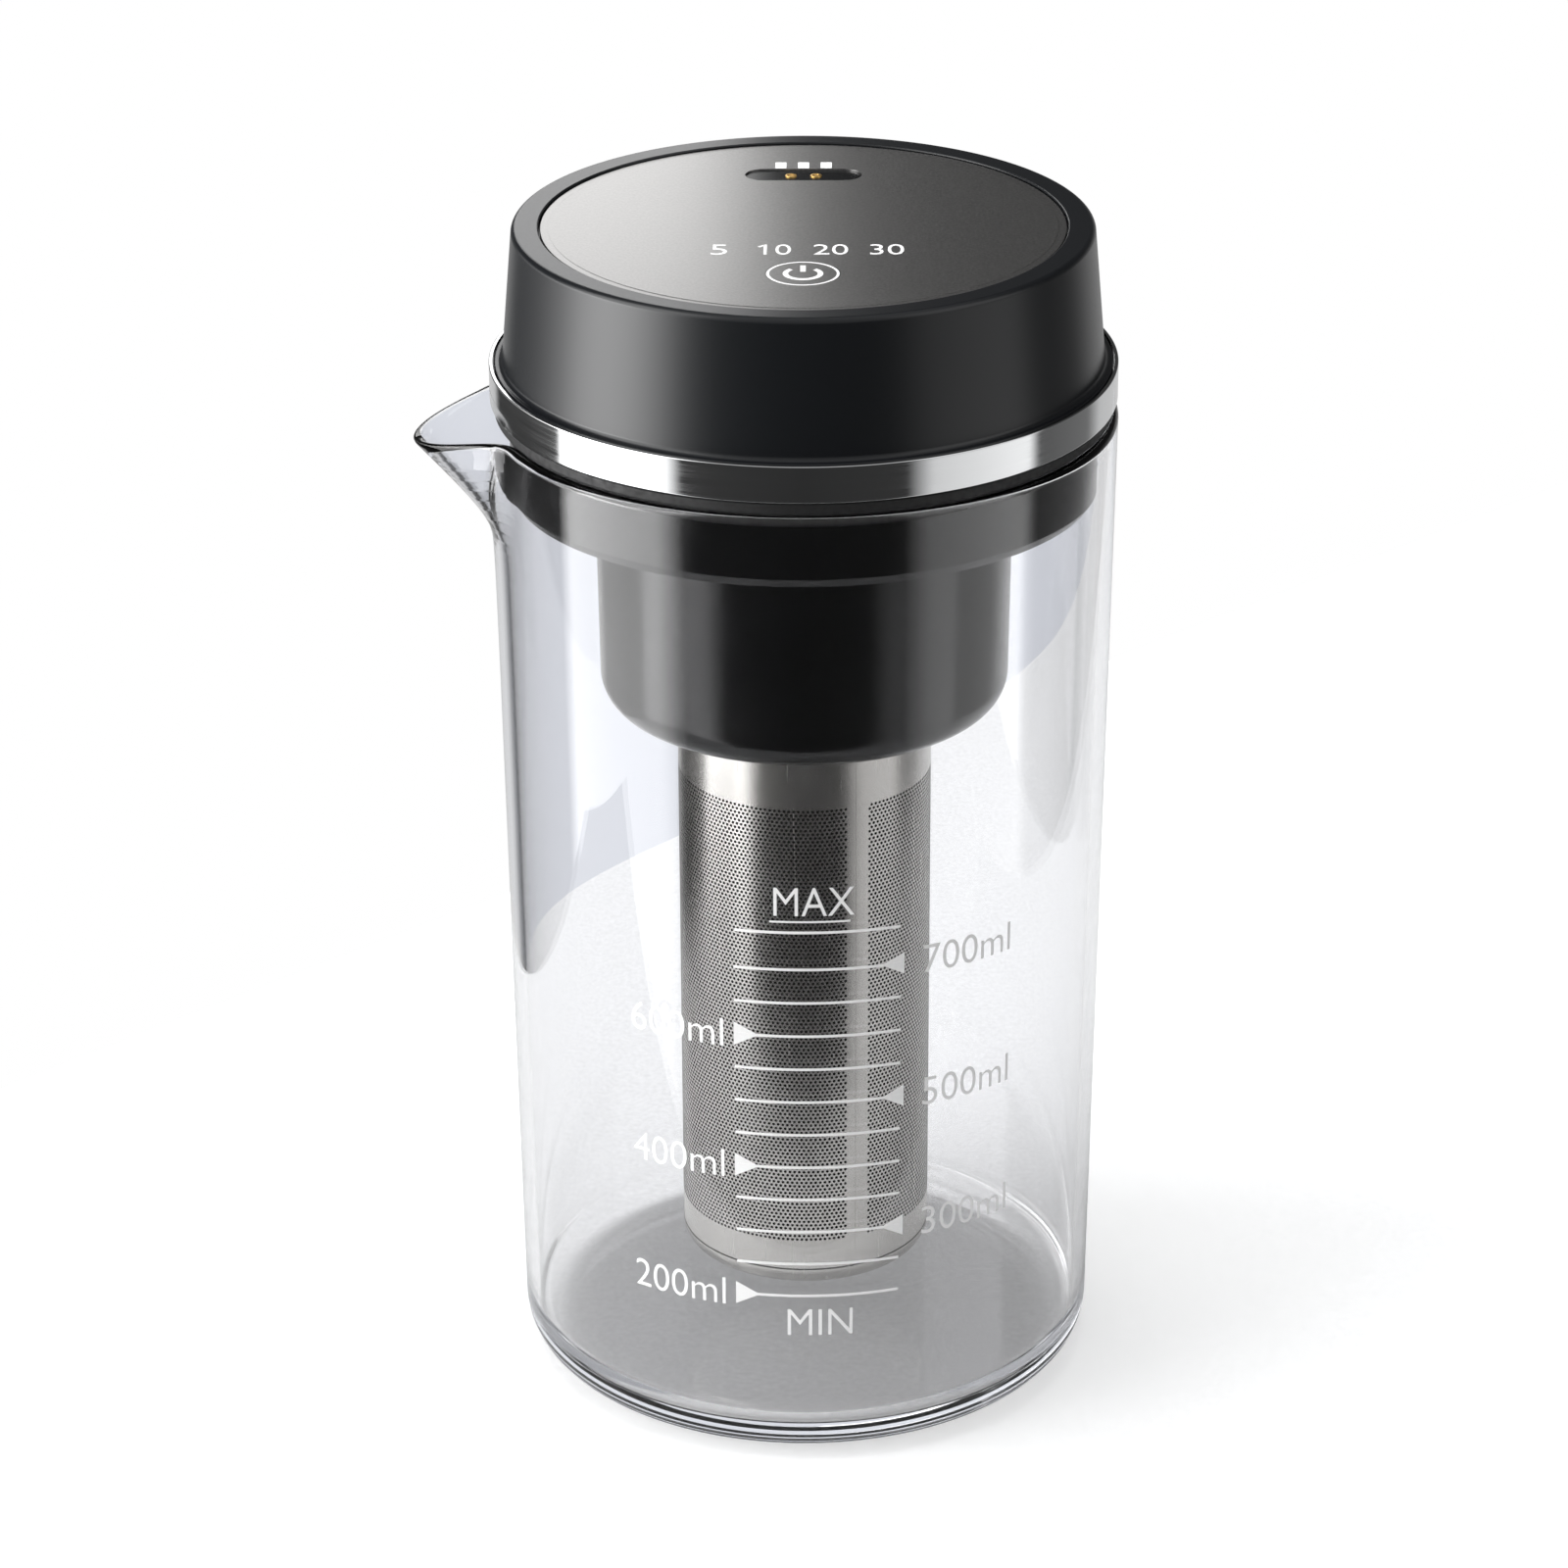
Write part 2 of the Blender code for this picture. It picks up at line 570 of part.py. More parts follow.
def append_mesh(bm, part):
    """Adds a finished mesh to another as a separate solid."""
    mesh = bpy.data.meshes.new("part")
    part.to_mesh(mesh)
    part.free()
    bm.from_mesh(mesh)
    bpy.data.meshes.remove(mesh)


# Glass jug

def jug_radius(z):
    """Outer radius of the tapered glass at a height."""
    return JUG_FOOT_RADIUS + (JUG_RIM_RADIUS - JUG_FOOT_RADIUS) * z / JUG_HEIGHT


def beak_lean(z):
    """How the beak leans out with height: flat on the wall, then a straight slope."""
    rise = z - (JUG_HEIGHT - SPOUT_ROOT_DEPTH)
    return (rise + math.hypot(rise, SPOUT_BLEND)) / 2


def beak_reach(z):
    """How far the middle of the spout stands out from the wall at a height."""
    lowest = beak_lean(JUG_HEIGHT - SPOUT_FADE_DEPTH)
    tip = beak_lean(JUG_HEIGHT - SPOUT_DIP)
    return SPOUT_REACH * (beak_lean(z) - lowest) / (tip - lowest)


def draw_spout(bm):
    """Crowds the columns towards -X, then draws the rim out and down into a beak."""
    fade_z = JUG_HEIGHT - SPOUT_FADE_DEPTH
    for vert in bm.verts:
        radius = math.hypot(vert.co.x, vert.co.y)
        if radius < WELD_DISTANCE:
            continue
        side = math.atan2(-vert.co.y, -vert.co.x)
        side = math.copysign(math.pi * (abs(side) / math.pi) ** SPOUT_COLUMN_POWER, side)
        z = vert.co.z
        if z > fade_z:
            nearness = max(0, 1 - abs(side) / SPOUT_HALF_ANGLE)
            dip = SPOUT_DIP * math.sin(QUARTER_TURN * nearness) ** SPOUT_DIP_POWER
            z = fade_z + (z - fade_z) * (SPOUT_FADE_DEPTH - dip) / SPOUT_FADE_DEPTH
            height_share = min(1, (z - fade_z) / (SPOUT_FADE_DEPTH - SPOUT_DIP))
            width_share = SPOUT_ROOT_WIDTH_SHARE + (1 - SPOUT_ROOT_WIDTH_SHARE) * height_share
            nearness = max(0, 1 - abs(side) / (SPOUT_HALF_ANGLE * width_share))
            radius += beak_reach(z) * math.sin(QUARTER_TURN * nearness) ** SPOUT_SIDE_POWER
        vert.co = (-radius * math.cos(side), -radius * math.sin(side), z)


def jug_profile():
    """Outer wall from the foot up, over the rounded rim and down inside."""
    foot_centre = (jug_radius(FOOT_ROUNDING) - FOOT_ROUNDING, FOOT_ROUNDING)
    floor_z = GLASS_FLOOR + INNER_FOOT_ROUNDING
    inner_centre = (jug_radius(floor_z) - GLASS_WALL - INNER_FOOT_ROUNDING, floor_z)
    fade_z = JUG_HEIGHT - SPOUT_FADE_DEPTH
    lip = GLASS_WALL / 2
    levels = [fade_z + (JUG_HEIGHT - lip - fade_z) * share for share in SPOUT_LEVEL_SHARES]
    points = [(0, 0)]
    points += arc(foot_centre, FOOT_ROUNDING, -QUARTER_TURN, 0)
    points += [(jug_radius(z), z) for z in levels]
    points += arc((jug_radius(JUG_HEIGHT) - lip, JUG_HEIGHT - lip), lip, 0, math.pi)
    points += [(jug_radius(z) - GLASS_WALL, z) for z in reversed(levels)]
    points += arc(inner_centre, INNER_FOOT_ROUNDING, 0, -QUARTER_TURN, ARC_STEPS - 1)
    points.append((0, GLASS_FLOOR))
    return points


def make_jug(frame):
    bm = lathe(jug_profile(), JUG_STEPS)
    draw_spout(bm)
    add_piece("glass_jug", bm, (0, 0, 0), frame, "clear_glass")


# Lid shell

def make_rim_gasket(frame):
    inner = PLUG_RADIUS + FIT_GAP
    skirt = JUG_RIM_RADIUS - GLASS_WALL - FIT_GAP
    profile = [(inner, -GASKET_SKIRT_DEPTH), (skirt, -GASKET_SKIRT_DEPTH), (skirt, 0),
               (GASKET_RADIUS, 0), (GASKET_RADIUS, GASKET_THICK), (inner, GASKET_THICK)]
    add_piece("rim_gasket", lathe(profile), (0, 0, GASKET_Z), frame, "black_silicone")


def make_steel_band(frame):
    bm = ring(BAND_INNER_RADIUS, BAND_RADIUS, BAND_HEIGHT)
    add_piece("steel_band", bm, (0, 0, BAND_Z), frame, "bright_steel")


def make_lid_base(frame):
    """Flange below the housing and the plug that reaches into the glass."""
    inner = PLUG_INNER_RADIUS
    profile = [(0, 0), (PLUG_RADIUS - PLUG_CHAMFER_WIDTH, 0), (PLUG_RADIUS, PLUG_CHAMFER_HEIGHT),
               (PLUG_RADIUS, PLUG_DEPTH), (LID_FLANGE_RADIUS, PLUG_DEPTH),
               (LID_FLANGE_RADIUS, PLUG_DEPTH + LID_FLANGE_THICK),
               (inner, PLUG_DEPTH + LID_FLANGE_THICK), (inner, PLUG_FLOOR), (0, PLUG_FLOOR)]
    base = add_piece("lid_base", lathe(profile), (0, 0, PLUG_Z), frame, "gloss_black_abs")
    posts = bmesh.new()
    bores = bmesh.new()
    post_top = POST_TOP_Z - PLUG_Z
    bore_radius = LID_SCREW_SHANK_RADIUS + FIT_GAP
    bore_z = LID_SCREW_HEAD_Z - LID_SCREW_LENGTH - FIT_GAP - PLUG_Z
    for x, y in paired_places(LID_SCREW_CIRCLE, LID_SCREW_ANGLE):
        rod(posts, SCREW_WELL_RADIUS, PLUG_FLOOR - UNION_BITE, post_top, x, y)
        rod(bores, bore_radius, bore_z, post_top + CUT_OVERRUN, x, y)
    holes_top = PLUG_FLOOR + CUT_OVERRUN
    for x, y in paired_places(CUP_SCREW_CIRCLE, CUP_SCREW_ANGLE):
        rod(bores, CUP_SCREW_SHANK_RADIUS + FIT_GAP, -CUT_OVERRUN, holes_top, x, y)
    rod(bores, LEAD_HOLE_RADIUS, -CUT_OVERRUN, holes_top, 0, LEAD_PLACE_Y)
    unite(base, "posts", posts)
    cut(base, "bores", bores)


def housing_profile():
    """From the axis: deck, inner wall, ledge, slanting wall, rim and plate recess."""
    skirt_z = BAND_Z + LID_FLANGE_THICK + FIT_GAP - LEDGE_Z
    deck_top = DECK_TOP_Z - LEDGE_Z
    deck = DECK_Z - LEDGE_Z
    edge = HOUSING_EDGE_ROUNDING
    foot_inner = HOUSING_FOOT_RADIUS - HOUSING_WALL
    points = [(0, deck), (HOUSING_TOP_RADIUS - HOUSING_WALL, deck), (foot_inner, 0),
              (foot_inner, skirt_z), (LID_FLANGE_RADIUS, skirt_z), (LID_FLANGE_RADIUS, 0)]
    points += arc((HOUSING_FOOT_RADIUS + LEDGE_FILLET, LEDGE_FILLET), LEDGE_FILLET,
                  -QUARTER_TURN, -math.pi)
    points += arc((HOUSING_TOP_RADIUS - edge, HOUSING_HEIGHT - edge), edge, 0, QUARTER_TURN)
    points += [(PLATE_RECESS_RADIUS, HOUSING_HEIGHT), (PLATE_RECESS_RADIUS, deck_top),
               (0, deck_top)]
    return points


def make_housing(frame):
    housing = add_piece("top_housing", lathe(housing_profile()), (0, 0, LEDGE_Z), frame,
                        "black_abs")
    unite(housing, "bosses", housing_bosses())
    cut(housing, "bores", housing_bores())
    cut(housing, "deck_slots", deck_slots())
    cut(housing, "port_slot", prism(port_outline(0), DECK_Z - CUT_OVERRUN - LEDGE_Z,
                                    DECK_TOP_Z + CUT_OVERRUN - LEDGE_Z))


def housing_bosses():
    """Screw wells down to the lid base's posts, and short bosses for the board."""
    bm = bmesh.new()
    deck = DECK_Z + UNION_BITE - LEDGE_Z
    for x, y in paired_places(LID_SCREW_CIRCLE, LID_SCREW_ANGLE):
        rod(bm, SCREW_WELL_RADIUS, SCREW_WELL_Z - LEDGE_Z, deck, x, y)
    for x, y in paired_places(BOARD_SCREW_CIRCLE, BOARD_SCREW_ANGLE):
        rod(bm, BOARD_BOSS_RADIUS, BOARD_TOP_Z + FIT_GAP - LEDGE_Z, deck, x, y)
    return bm


def housing_bores():
    bm = bmesh.new()
    low = SCREW_WELL_Z - CUT_OVERRUN - LEDGE_Z
    shelf = SCREW_WELL_Z + SCREW_WELL_SHELF - LEDGE_Z
    deck_top = DECK_TOP_Z + CUT_OVERRUN - LEDGE_Z
    shank = LID_SCREW_SHANK_RADIUS + FIT_GAP
    for x, y in paired_places(LID_SCREW_CIRCLE, LID_SCREW_ANGLE):
        part = lathe([(0, low), (shank, low), (shank, shelf), (SCREW_WELL_BORE, shelf),
                      (SCREW_WELL_BORE, deck_top), (0, deck_top)], SMALL_STEPS)
        bmesh.ops.translate(part, verts=part.verts, vec=(x, y, 0))
        append_mesh(bm, part)
    pilot_low = BOARD_TOP_Z + FIT_GAP - CUT_OVERRUN - LEDGE_Z
    pilot_high = BOARD_Z + BOARD_SCREW_LENGTH - LEDGE_Z
    for x, y in paired_places(BOARD_SCREW_CIRCLE, BOARD_SCREW_ANGLE):
        rod(bm, BOARD_SCREW_SHANK_RADIUS + FIT_GAP, pilot_low, pilot_high, x, y)
    return bm


def deck_slots():
    """Key pocket and stem hole, light bar slot and window slots, through the deck."""
    bm = bmesh.new()
    low = DECK_Z - CUT_OVERRUN - LEDGE_Z
    high = DECK_TOP_Z + CUT_OVERRUN - LEDGE_Z
    pocket = KEY_Z - KEY_TRAVEL - FIT_GAP - LEDGE_Z
    stem = KEY_STEM_RADIUS + FIT_GAP
    key = KEY_RADIUS + FIT_GAP
    part = lathe([(0, low), (stem, low), (stem, pocket), (key, pocket), (key, high), (0, high)],
                 MEDIUM_STEPS)
    bmesh.ops.translate(part, verts=part.verts, vec=(0, KEY_PLACE_Y, 0))
    append_mesh(bm, part)
    middle = (low + high) / 2
    block(bm, (LIGHT_BAR_LENGTH + 2 * FIT_GAP, LIGHT_BAR_WIDTH + 2 * FIT_GAP, high - low),
          (0, LIGHT_BAR_PLACE_Y, middle))
    for x in window_places():
        block(bm, (WINDOW_WIDTH + 2 * FIT_GAP, WINDOW_LENGTH + 2 * FIT_GAP, high - low),
              (x, WINDOW_PLACE_Y, middle))
    return bm


def port_outline(inset):
    """The charging port's opening, or the insert that fits in it."""
    return pill_outline(PORT_LENGTH - 2 * inset, PORT_WIDTH - 2 * inset, PORT_PLACE_Y)


def window_places():
    first = -WINDOW_PITCH * (WINDOW_COUNT - 1) / 2
    return [first + WINDOW_PITCH * i for i in range(WINDOW_COUNT)]


def time_light_places():
    first = -TIME_LIGHT_PITCH * (TIME_LIGHT_COUNT - 1) / 2
    return [first + TIME_LIGHT_PITCH * i for i in range(TIME_LIGHT_COUNT)]


def make_face_plate(frame):
    bm = bmesh.new()
    rod(bm, PLATE_RADIUS, 0, PLATE_THICK, steps=LARGE_STEPS)
    plate = add_piece("face_plate", bm, (0, 0, PLATE_Z), frame, "satin_steel")
    cuts = bmesh.new()
    low = -CUT_OVERRUN
    high = PLATE_THICK + CUT_OVERRUN
    rod(cuts, KEY_RADIUS + FIT_GAP, low, high, 0, KEY_PLACE_Y, MEDIUM_STEPS)
    for x in window_places():
        block(cuts, (WINDOW_WIDTH + 2 * FIT_GAP, WINDOW_LENGTH + 2 * FIT_GAP, high - low),
              (x, WINDOW_PLACE_Y, (low + high) / 2))
    cut(plate, "openings", cuts)
    cut(plate, "port_slot", prism(port_outline(0), low, high))


def make_lid_screws(frame):
    bm = screw(LID_SCREW_SHANK_RADIUS, LID_SCREW_LENGTH, LID_SCREW_HEAD_RADIUS,
               LID_SCREW_HEAD_HEIGHT)
    places = paired_places(LID_SCREW_CIRCLE, LID_SCREW_ANGLE)
    add_copies("lid_screw", bm, places, LID_SCREW_HEAD_Z, frame, "zinc_screw")


# Power key

def make_power_key(frame):
    """Round metal cap, plastic stem and the switch's plunger, which travel together."""
    edge = (KEY_RADIUS - KEY_EDGE, KEY_THICK - KEY_EDGE)
    profile = [(0, 0), (KEY_RADIUS, 0)]
    profile += arc(edge, KEY_EDGE, 0, QUARTER_TURN, 2)
    profile.append((0, KEY_THICK))
    add_piece("power_key", lathe(profile, MEDIUM_STEPS), (0, KEY_PLACE_Y, KEY_Z), frame,
              "satin_steel")
    plunger_top = SWITCH_TOP_Z + PLUNGER_PROUD
    stem = bmesh.new()
    rod(stem, KEY_STEM_RADIUS, 0, KEY_Z - plunger_top - 2 * FIT_GAP)
    add_piece("key_stem", stem, (0, KEY_PLACE_Y, plunger_top + FIT_GAP), frame, "black_abs")
    plunger = bmesh.new()
    rod(plunger, PLUNGER_RADIUS, -PLUNGER_SUNK, PLUNGER_PROUD)
    add_piece("switch_plunger", plunger, (0, KEY_PLACE_Y, SWITCH_TOP_Z), frame, "motor_nylon")


def make_switch_case(frame):
    bm = bmesh.new()
    block(bm, (SWITCH_SIDE, SWITCH_SIDE, SWITCH_HEIGHT), (0, 0, SWITCH_HEIGHT / 2))
    case = add_piece("switch_case", bm, (0, KEY_PLACE_Y, ON_BOARD_Z), frame, "chip_black")
    bore = bmesh.new()
    floor = SWITCH_HEIGHT - PLUNGER_SUNK - KEY_TRAVEL - FIT_GAP
    rod(bore, PLUNGER_RADIUS + FIT_GAP, floor, SWITCH_HEIGHT + CUT_OVERRUN)
    cut(case, "bore", bore)


# Charging port

def contact_places():
    return [(-CONTACT_SPACING / 2, PORT_PLACE_Y), (CONTACT_SPACING / 2, PORT_PLACE_Y)]


def make_charging_port(frame):
    height = PLATE_TOP_Z - PORT_SINK - ON_BOARD_Z
    port = add_piece("charging_port", prism(port_outline(FIT_GAP), 0, height),
                     (0, 0, ON_BOARD_Z), frame, "gloss_black_abs")
    bores = bmesh.new()
    for x, y in contact_places():
        rod(bores, CONTACT_RADIUS + FIT_GAP, -CUT_OVERRUN, height + CUT_OVERRUN, x, y)
    cut(port, "bores", bores)
    contact = bmesh.new()
    rod(contact, CONTACT_RADIUS, 0, height)
    add_copies("charging_contact", contact, contact_places(), ON_BOARD_Z, frame, "gilt")


# Lights

def add_comb(name, base_size, tooth_size, places, at, frame):
    """A row of teeth on a common base, such as light pipes or lamps on a strip."""
    base = bmesh.new()
    block(base, base_size, (0, 0, base_size[2] / 2))
    comb = add_piece(name, base, at, frame, "light_pipe")
    teeth = bmesh.new()
    for x in places:
        block(teeth, (tooth_size[0], tooth_size[1], tooth_size[2] - base_size[2] / 2),
              (x, 0, (tooth_size[2] + base_size[2] / 2) / 2))
    unite(comb, "teeth", teeth)


def make_lights(frame):
    """Light bar below the numbers, pipes to the windows and the lamps under both."""
    pipe_z = ON_BOARD_Z + LED_HEIGHT + FIT_GAP
    bar = bmesh.new()
    bar_height = DECK_TOP_Z - pipe_z
    block(bar, (LIGHT_BAR_LENGTH, LIGHT_BAR_WIDTH, bar_height), (0, 0, bar_height / 2))
    add_piece("time_light_bar", bar, (0, LIGHT_BAR_PLACE_Y, pipe_z), frame, "light_pipe")
    windows_span = WINDOW_PITCH * (WINDOW_COUNT - 1) + WINDOW_WIDTH
    add_comb("battery_light_pipes", (windows_span, WINDOW_LENGTH, PIPE_BASE),
             (WINDOW_WIDTH, WINDOW_LENGTH, PLATE_TOP_Z - pipe_z), window_places(),
             (0, WINDOW_PLACE_Y, pipe_z), frame)
    add_comb("battery_lamps", (windows_span, LED_SIDE, LED_STRIP_THICK),
             (LED_SIDE, LED_SIDE - 2 * LED_INSET, LED_HEIGHT), window_places(),
             (0, WINDOW_PLACE_Y, ON_BOARD_Z), frame)
    add_comb("time_lamps", (LIGHT_BAR_LENGTH, LED_SIDE, LED_STRIP_THICK),
             (LED_SIDE, LED_SIDE - 2 * LED_INSET, LED_HEIGHT), time_light_places(),
             (0, LIGHT_BAR_PLACE_Y, ON_BOARD_Z), frame)


# Control board

def make_control_board(frame):
    bm = bmesh.new()
    rod(bm, BOARD_RADIUS, 0, BOARD_THICK, steps=MEDIUM_STEPS)
    board = add_piece("control_board", bm, (0, 0, BOARD_Z), frame, "board_green")
    holes = bmesh.new()
    bore = BOARD_SCREW_SHANK_RADIUS + FIT_GAP
    for x, y in paired_places(BOARD_SCREW_CIRCLE, BOARD_SCREW_ANGLE):
        rod(holes, bore, -CUT_OVERRUN, BOARD_THICK + CUT_OVERRUN, x, y)
    cut(board, "holes", holes)
    chip = bmesh.new()
    block(chip, (CHIP_SIDE, CHIP_SIDE, CHIP_HEIGHT), (0, 0, -CHIP_HEIGHT / 2))
    add_piece("control_chip", chip, (*CHIP_PLACE, BOARD_Z - FIT_GAP), frame, "chip_black")
    choke = bmesh.new()
    rod(choke, CHOKE_RADIUS, -CHOKE_HEIGHT, 0)
    add_piece("power_choke", choke, (*CHOKE_PLACE, BOARD_Z - FIT_GAP), frame, "chip_black")


def make_board_screws(frame):
    bm = screw(BOARD_SCREW_SHANK_RADIUS, BOARD_SCREW_LENGTH, BOARD_SCREW_HEAD_RADIUS,
               BOARD_SCREW_HEAD_HEIGHT)
    bmesh.ops.rotate(bm, verts=bm.verts, cent=(0, 0, 0), matrix=Matrix.Rotation(math.pi, 3, "X"))
    places = paired_places(BOARD_SCREW_CIRCLE, BOARD_SCREW_ANGLE)
    add_copies("board_screw", bm, places, BOARD_Z - FIT_GAP, frame, "zinc_screw")


# Battery

def make_battery(frame):
    """Two cells side by side along X, in a holder with two end walls."""
    holder_z = PLUG_FLOOR_Z + FIT_GAP
    end_x = HOLDER_HALF_LENGTH
    wall_x = end_x - HOLDER_END_WALL
    outline = [(-end_x, 0), (end_x, 0), (end_x, HOLDER_WALL_HEIGHT), (wall_x, HOLDER_WALL_HEIGHT),
               (wall_x, HOLDER_FLOOR), (-wall_x, HOLDER_FLOOR), (-wall_x, HOLDER_WALL_HEIGHT),
               (-end_x, HOLDER_WALL_HEIGHT)]
    holder = prism(outline, -HOLDER_HALF_WIDTH, HOLDER_HALF_WIDTH)
    bmesh.ops.rotate(holder, verts=holder.verts, cent=(0, 0, 0),
                     matrix=Matrix.Rotation(QUARTER_TURN, 3, "X"))
    add_piece("battery_holder", holder, (0, 0, holder_z), frame, "holder_nylon")
    cell = lathe(cell_profile(), SMALL_STEPS * 2)
    bmesh.ops.rotate(cell, verts=cell.verts, cent=(0, 0, 0),
                     matrix=Matrix.Rotation(QUARTER_TURN, 3, "Y"))
    pitch = 2 * (CELL_RADIUS + FIT_GAP)
    places = [(0, pitch * (i - (CELL_COUNT - 1) / 2)) for i in range(CELL_COUNT)]
    cell_z = holder_z + HOLDER_FLOOR + FIT_GAP + CELL_RADIUS
    add_copies("battery_cell", cell, places, cell_z, frame, "cell_wrap")


def cell_profile():
    half = CELL_LENGTH / 2
    inset = CELL_RADIUS - CELL_EDGE
    return [(0, -half), (inset, -half), (CELL_RADIUS, CELL_EDGE - half),
            (CELL_RADIUS, half - CELL_EDGE), (inset, half), (0, half)]


# Motor cup

def cup_profile():
    """Rounded outer foot, slightly tapered wall, floor and the well for the filter."""
    top = CUP_HEIGHT
    roof = WELL_DEPTH + WELL_ROOF
    centre = (CUP_FOOT_RADIUS - CUP_ROUNDING, CUP_ROUNDING)
    inner_rounding = CUP_ROUNDING - CUP_FLOOR
    points = [(WELL_RADIUS, 0)]
    points += arc(centre, CUP_ROUNDING, -QUARTER_TURN, 0)
    points += [(CUP_RADIUS, top), (CUP_RADIUS - CUP_WALL, top)]
    points += arc(centre, inner_rounding, 0, -QUARTER_TURN, ARC_STEPS - 1)
    points += [(WELL_OUTER_RADIUS, CUP_FLOOR), (WELL_OUTER_RADIUS, roof),
               (BUSH_HOLE_RADIUS, roof), (BUSH_HOLE_RADIUS, WELL_DEPTH), (WELL_RADIUS, WELL_DEPTH)]
    return points


def make_motor_cup(frame):
    cup = add_piece("motor_cup", lathe(cup_profile()), (0, 0, CUP_Z), frame, "gloss_black_abs")
    bosses = bmesh.new()
    bores = bmesh.new()
    for x, y in pillar_places():
        rod(bosses, PILLAR_RADIUS, CUP_FLOOR - UNION_BITE, PILLAR_TOP_Z - CUP_Z, x, y)
        rod(bores, MOTOR_SCREW_RADIUS + FIT_GAP, PILLAR_TOP_Z - PLATE_SCREW_LENGTH - CUP_Z,
            PILLAR_TOP_Z + CUT_OVERRUN - CUP_Z, x, y)
    boss_top = PLUG_Z - FIT_GAP - CUP_Z
    screw_low = PLUG_FLOOR_Z - CUP_SCREW_LENGTH - CUP_Z
    for x, y in paired_places(CUP_SCREW_CIRCLE, CUP_SCREW_ANGLE):
        rod(bosses, CUP_SCREW_BOSS_RADIUS, boss_top - CUP_SCREW_BOSS_HEIGHT, boss_top, x, y)
        rod(bores, CUP_SCREW_SHANK_RADIUS + FIT_GAP, screw_low, boss_top + CUT_OVERRUN, x, y)
    unite(cup, "bosses", bosses)
    cut(cup, "bores", bores)


def make_cup_seal(frame):
    bm = ring(CUP_SEAL_INNER_RADIUS, CUP_RADIUS - FIT_GAP, CUP_SEAL_THICK)
    add_piece("cup_seal", bm, (0, 0, CUP_SEAL_Z), frame, "black_silicone")


def make_cup_screws(frame):
    bm = screw(CUP_SCREW_SHANK_RADIUS, CUP_SCREW_LENGTH, CUP_SCREW_HEAD_RADIUS,
               CUP_SCREW_HEAD_HEIGHT)
    places = paired_places(CUP_SCREW_CIRCLE, CUP_SCREW_ANGLE)
    add_copies("cup_screw", bm, places, PLUG_FLOOR_Z + FIT_GAP, frame, "zinc_screw")


# Motor

def pillar_places():
    return round_pattern(PILLAR_COUNT, PILLAR_CIRCLE, QUARTER_TURN)


def motor_screw_places():
    return round_pattern(2, MOTOR_SCREW_CIRCLE)


def make_motor(frame):
    """Steel can with a blind bore for the shaft, and its nylon end cap."""
    bore = SHAFT_RADIUS + FIT_GAP
    profile = [(0, MOTOR_BORE_DEPTH), (bore, MOTOR_BORE_DEPTH), (bore, 0), (MOTOR_RADIUS, 0),
               (MOTOR_RADIUS, MOTOR_LENGTH - MOTOR_EDGE),
               (MOTOR_RADIUS - MOTOR_EDGE, MOTOR_LENGTH), (0, MOTOR_LENGTH)]
    can = add_piece("motor_can", lathe(profile, MEDIUM_STEPS), (0, 0, MOTOR_Z), frame,
                    "bright_steel")
    holes = bmesh.new()
    for x, y in motor_screw_places():
        rod(holes, MOTOR_SCREW_RADIUS + FIT_GAP, -CUT_OVERRUN, MOTOR_SCREW_DEPTH, x, y)
    cut(can, "holes", holes)
    cap = bmesh.new()
    rod(cap, MOTOR_CAP_RADIUS, 0, MOTOR_CAP_HEIGHT, steps=MEDIUM_STEPS)
    add_piece("motor_end_cap", cap, (0, 0, MOTOR_CAP_Z), frame, "motor_nylon")


def make_motor_plate(frame):
    bm = ring(BUSH_HOLE_RADIUS, MOTOR_PLATE_RADIUS, MOTOR_PLATE_THICK, MEDIUM_STEPS)
    plate = add_piece("motor_plate", bm, (0, 0, MOTOR_PLATE_Z), frame, "brushed_steel")
    holes = bmesh.new()
    bore = MOTOR_SCREW_RADIUS + FIT_GAP
    for x, y in pillar_places() + motor_screw_places():
        rod(holes, bore, -CUT_OVERRUN, MOTOR_PLATE_THICK + CUT_OVERRUN, x, y)
    cut(plate, "holes", holes)


def make_motor_screws(frame):
    """Two screws up through the plate into the can, three down into the pillars."""
    bm = screw(MOTOR_SCREW_RADIUS, PLATE_SCREW_LENGTH, MOTOR_SCREW_RADIUS * SCREW_HEAD_SHARE,
               SMALL_HEAD_HEIGHT)
    top = MOTOR_PLATE_Z + MOTOR_PLATE_THICK + FIT_GAP
    add_copies("plate_screw", bm, pillar_places(), top, frame, "zinc_screw")
    pin = bmesh.new()
    rod(pin, MOTOR_SCREW_RADIUS, 0, MOTOR_PLATE_THICK + MOTOR_SCREW_DEPTH)
    add_copies("motor_screw", pin, motor_screw_places(), MOTOR_PLATE_Z, frame, "zinc_screw")


# Shaft and stirrer

def make_shaft_bush(frame):
    bm = ring(SHAFT_HOLE_RADIUS, BUSH_RADIUS, MOTOR_Z - FIT_GAP - WELL_ROOF_Z, SMALL_STEPS * 2)
    add_piece("shaft_bush", bm, (0, 0, WELL_ROOF_Z), frame, "bronze")


def make_shaft_seal(frame):
    bm = ring(SHAFT_HOLE_RADIUS, SHAFT_SEAL_RADIUS, SHAFT_SEAL_THICK, SMALL_STEPS * 2)
    add_piece("shaft_seal", bm, (0, 0, WELL_ROOF_Z - FIT_GAP - SHAFT_SEAL_THICK), frame,
              "grey_silicone")


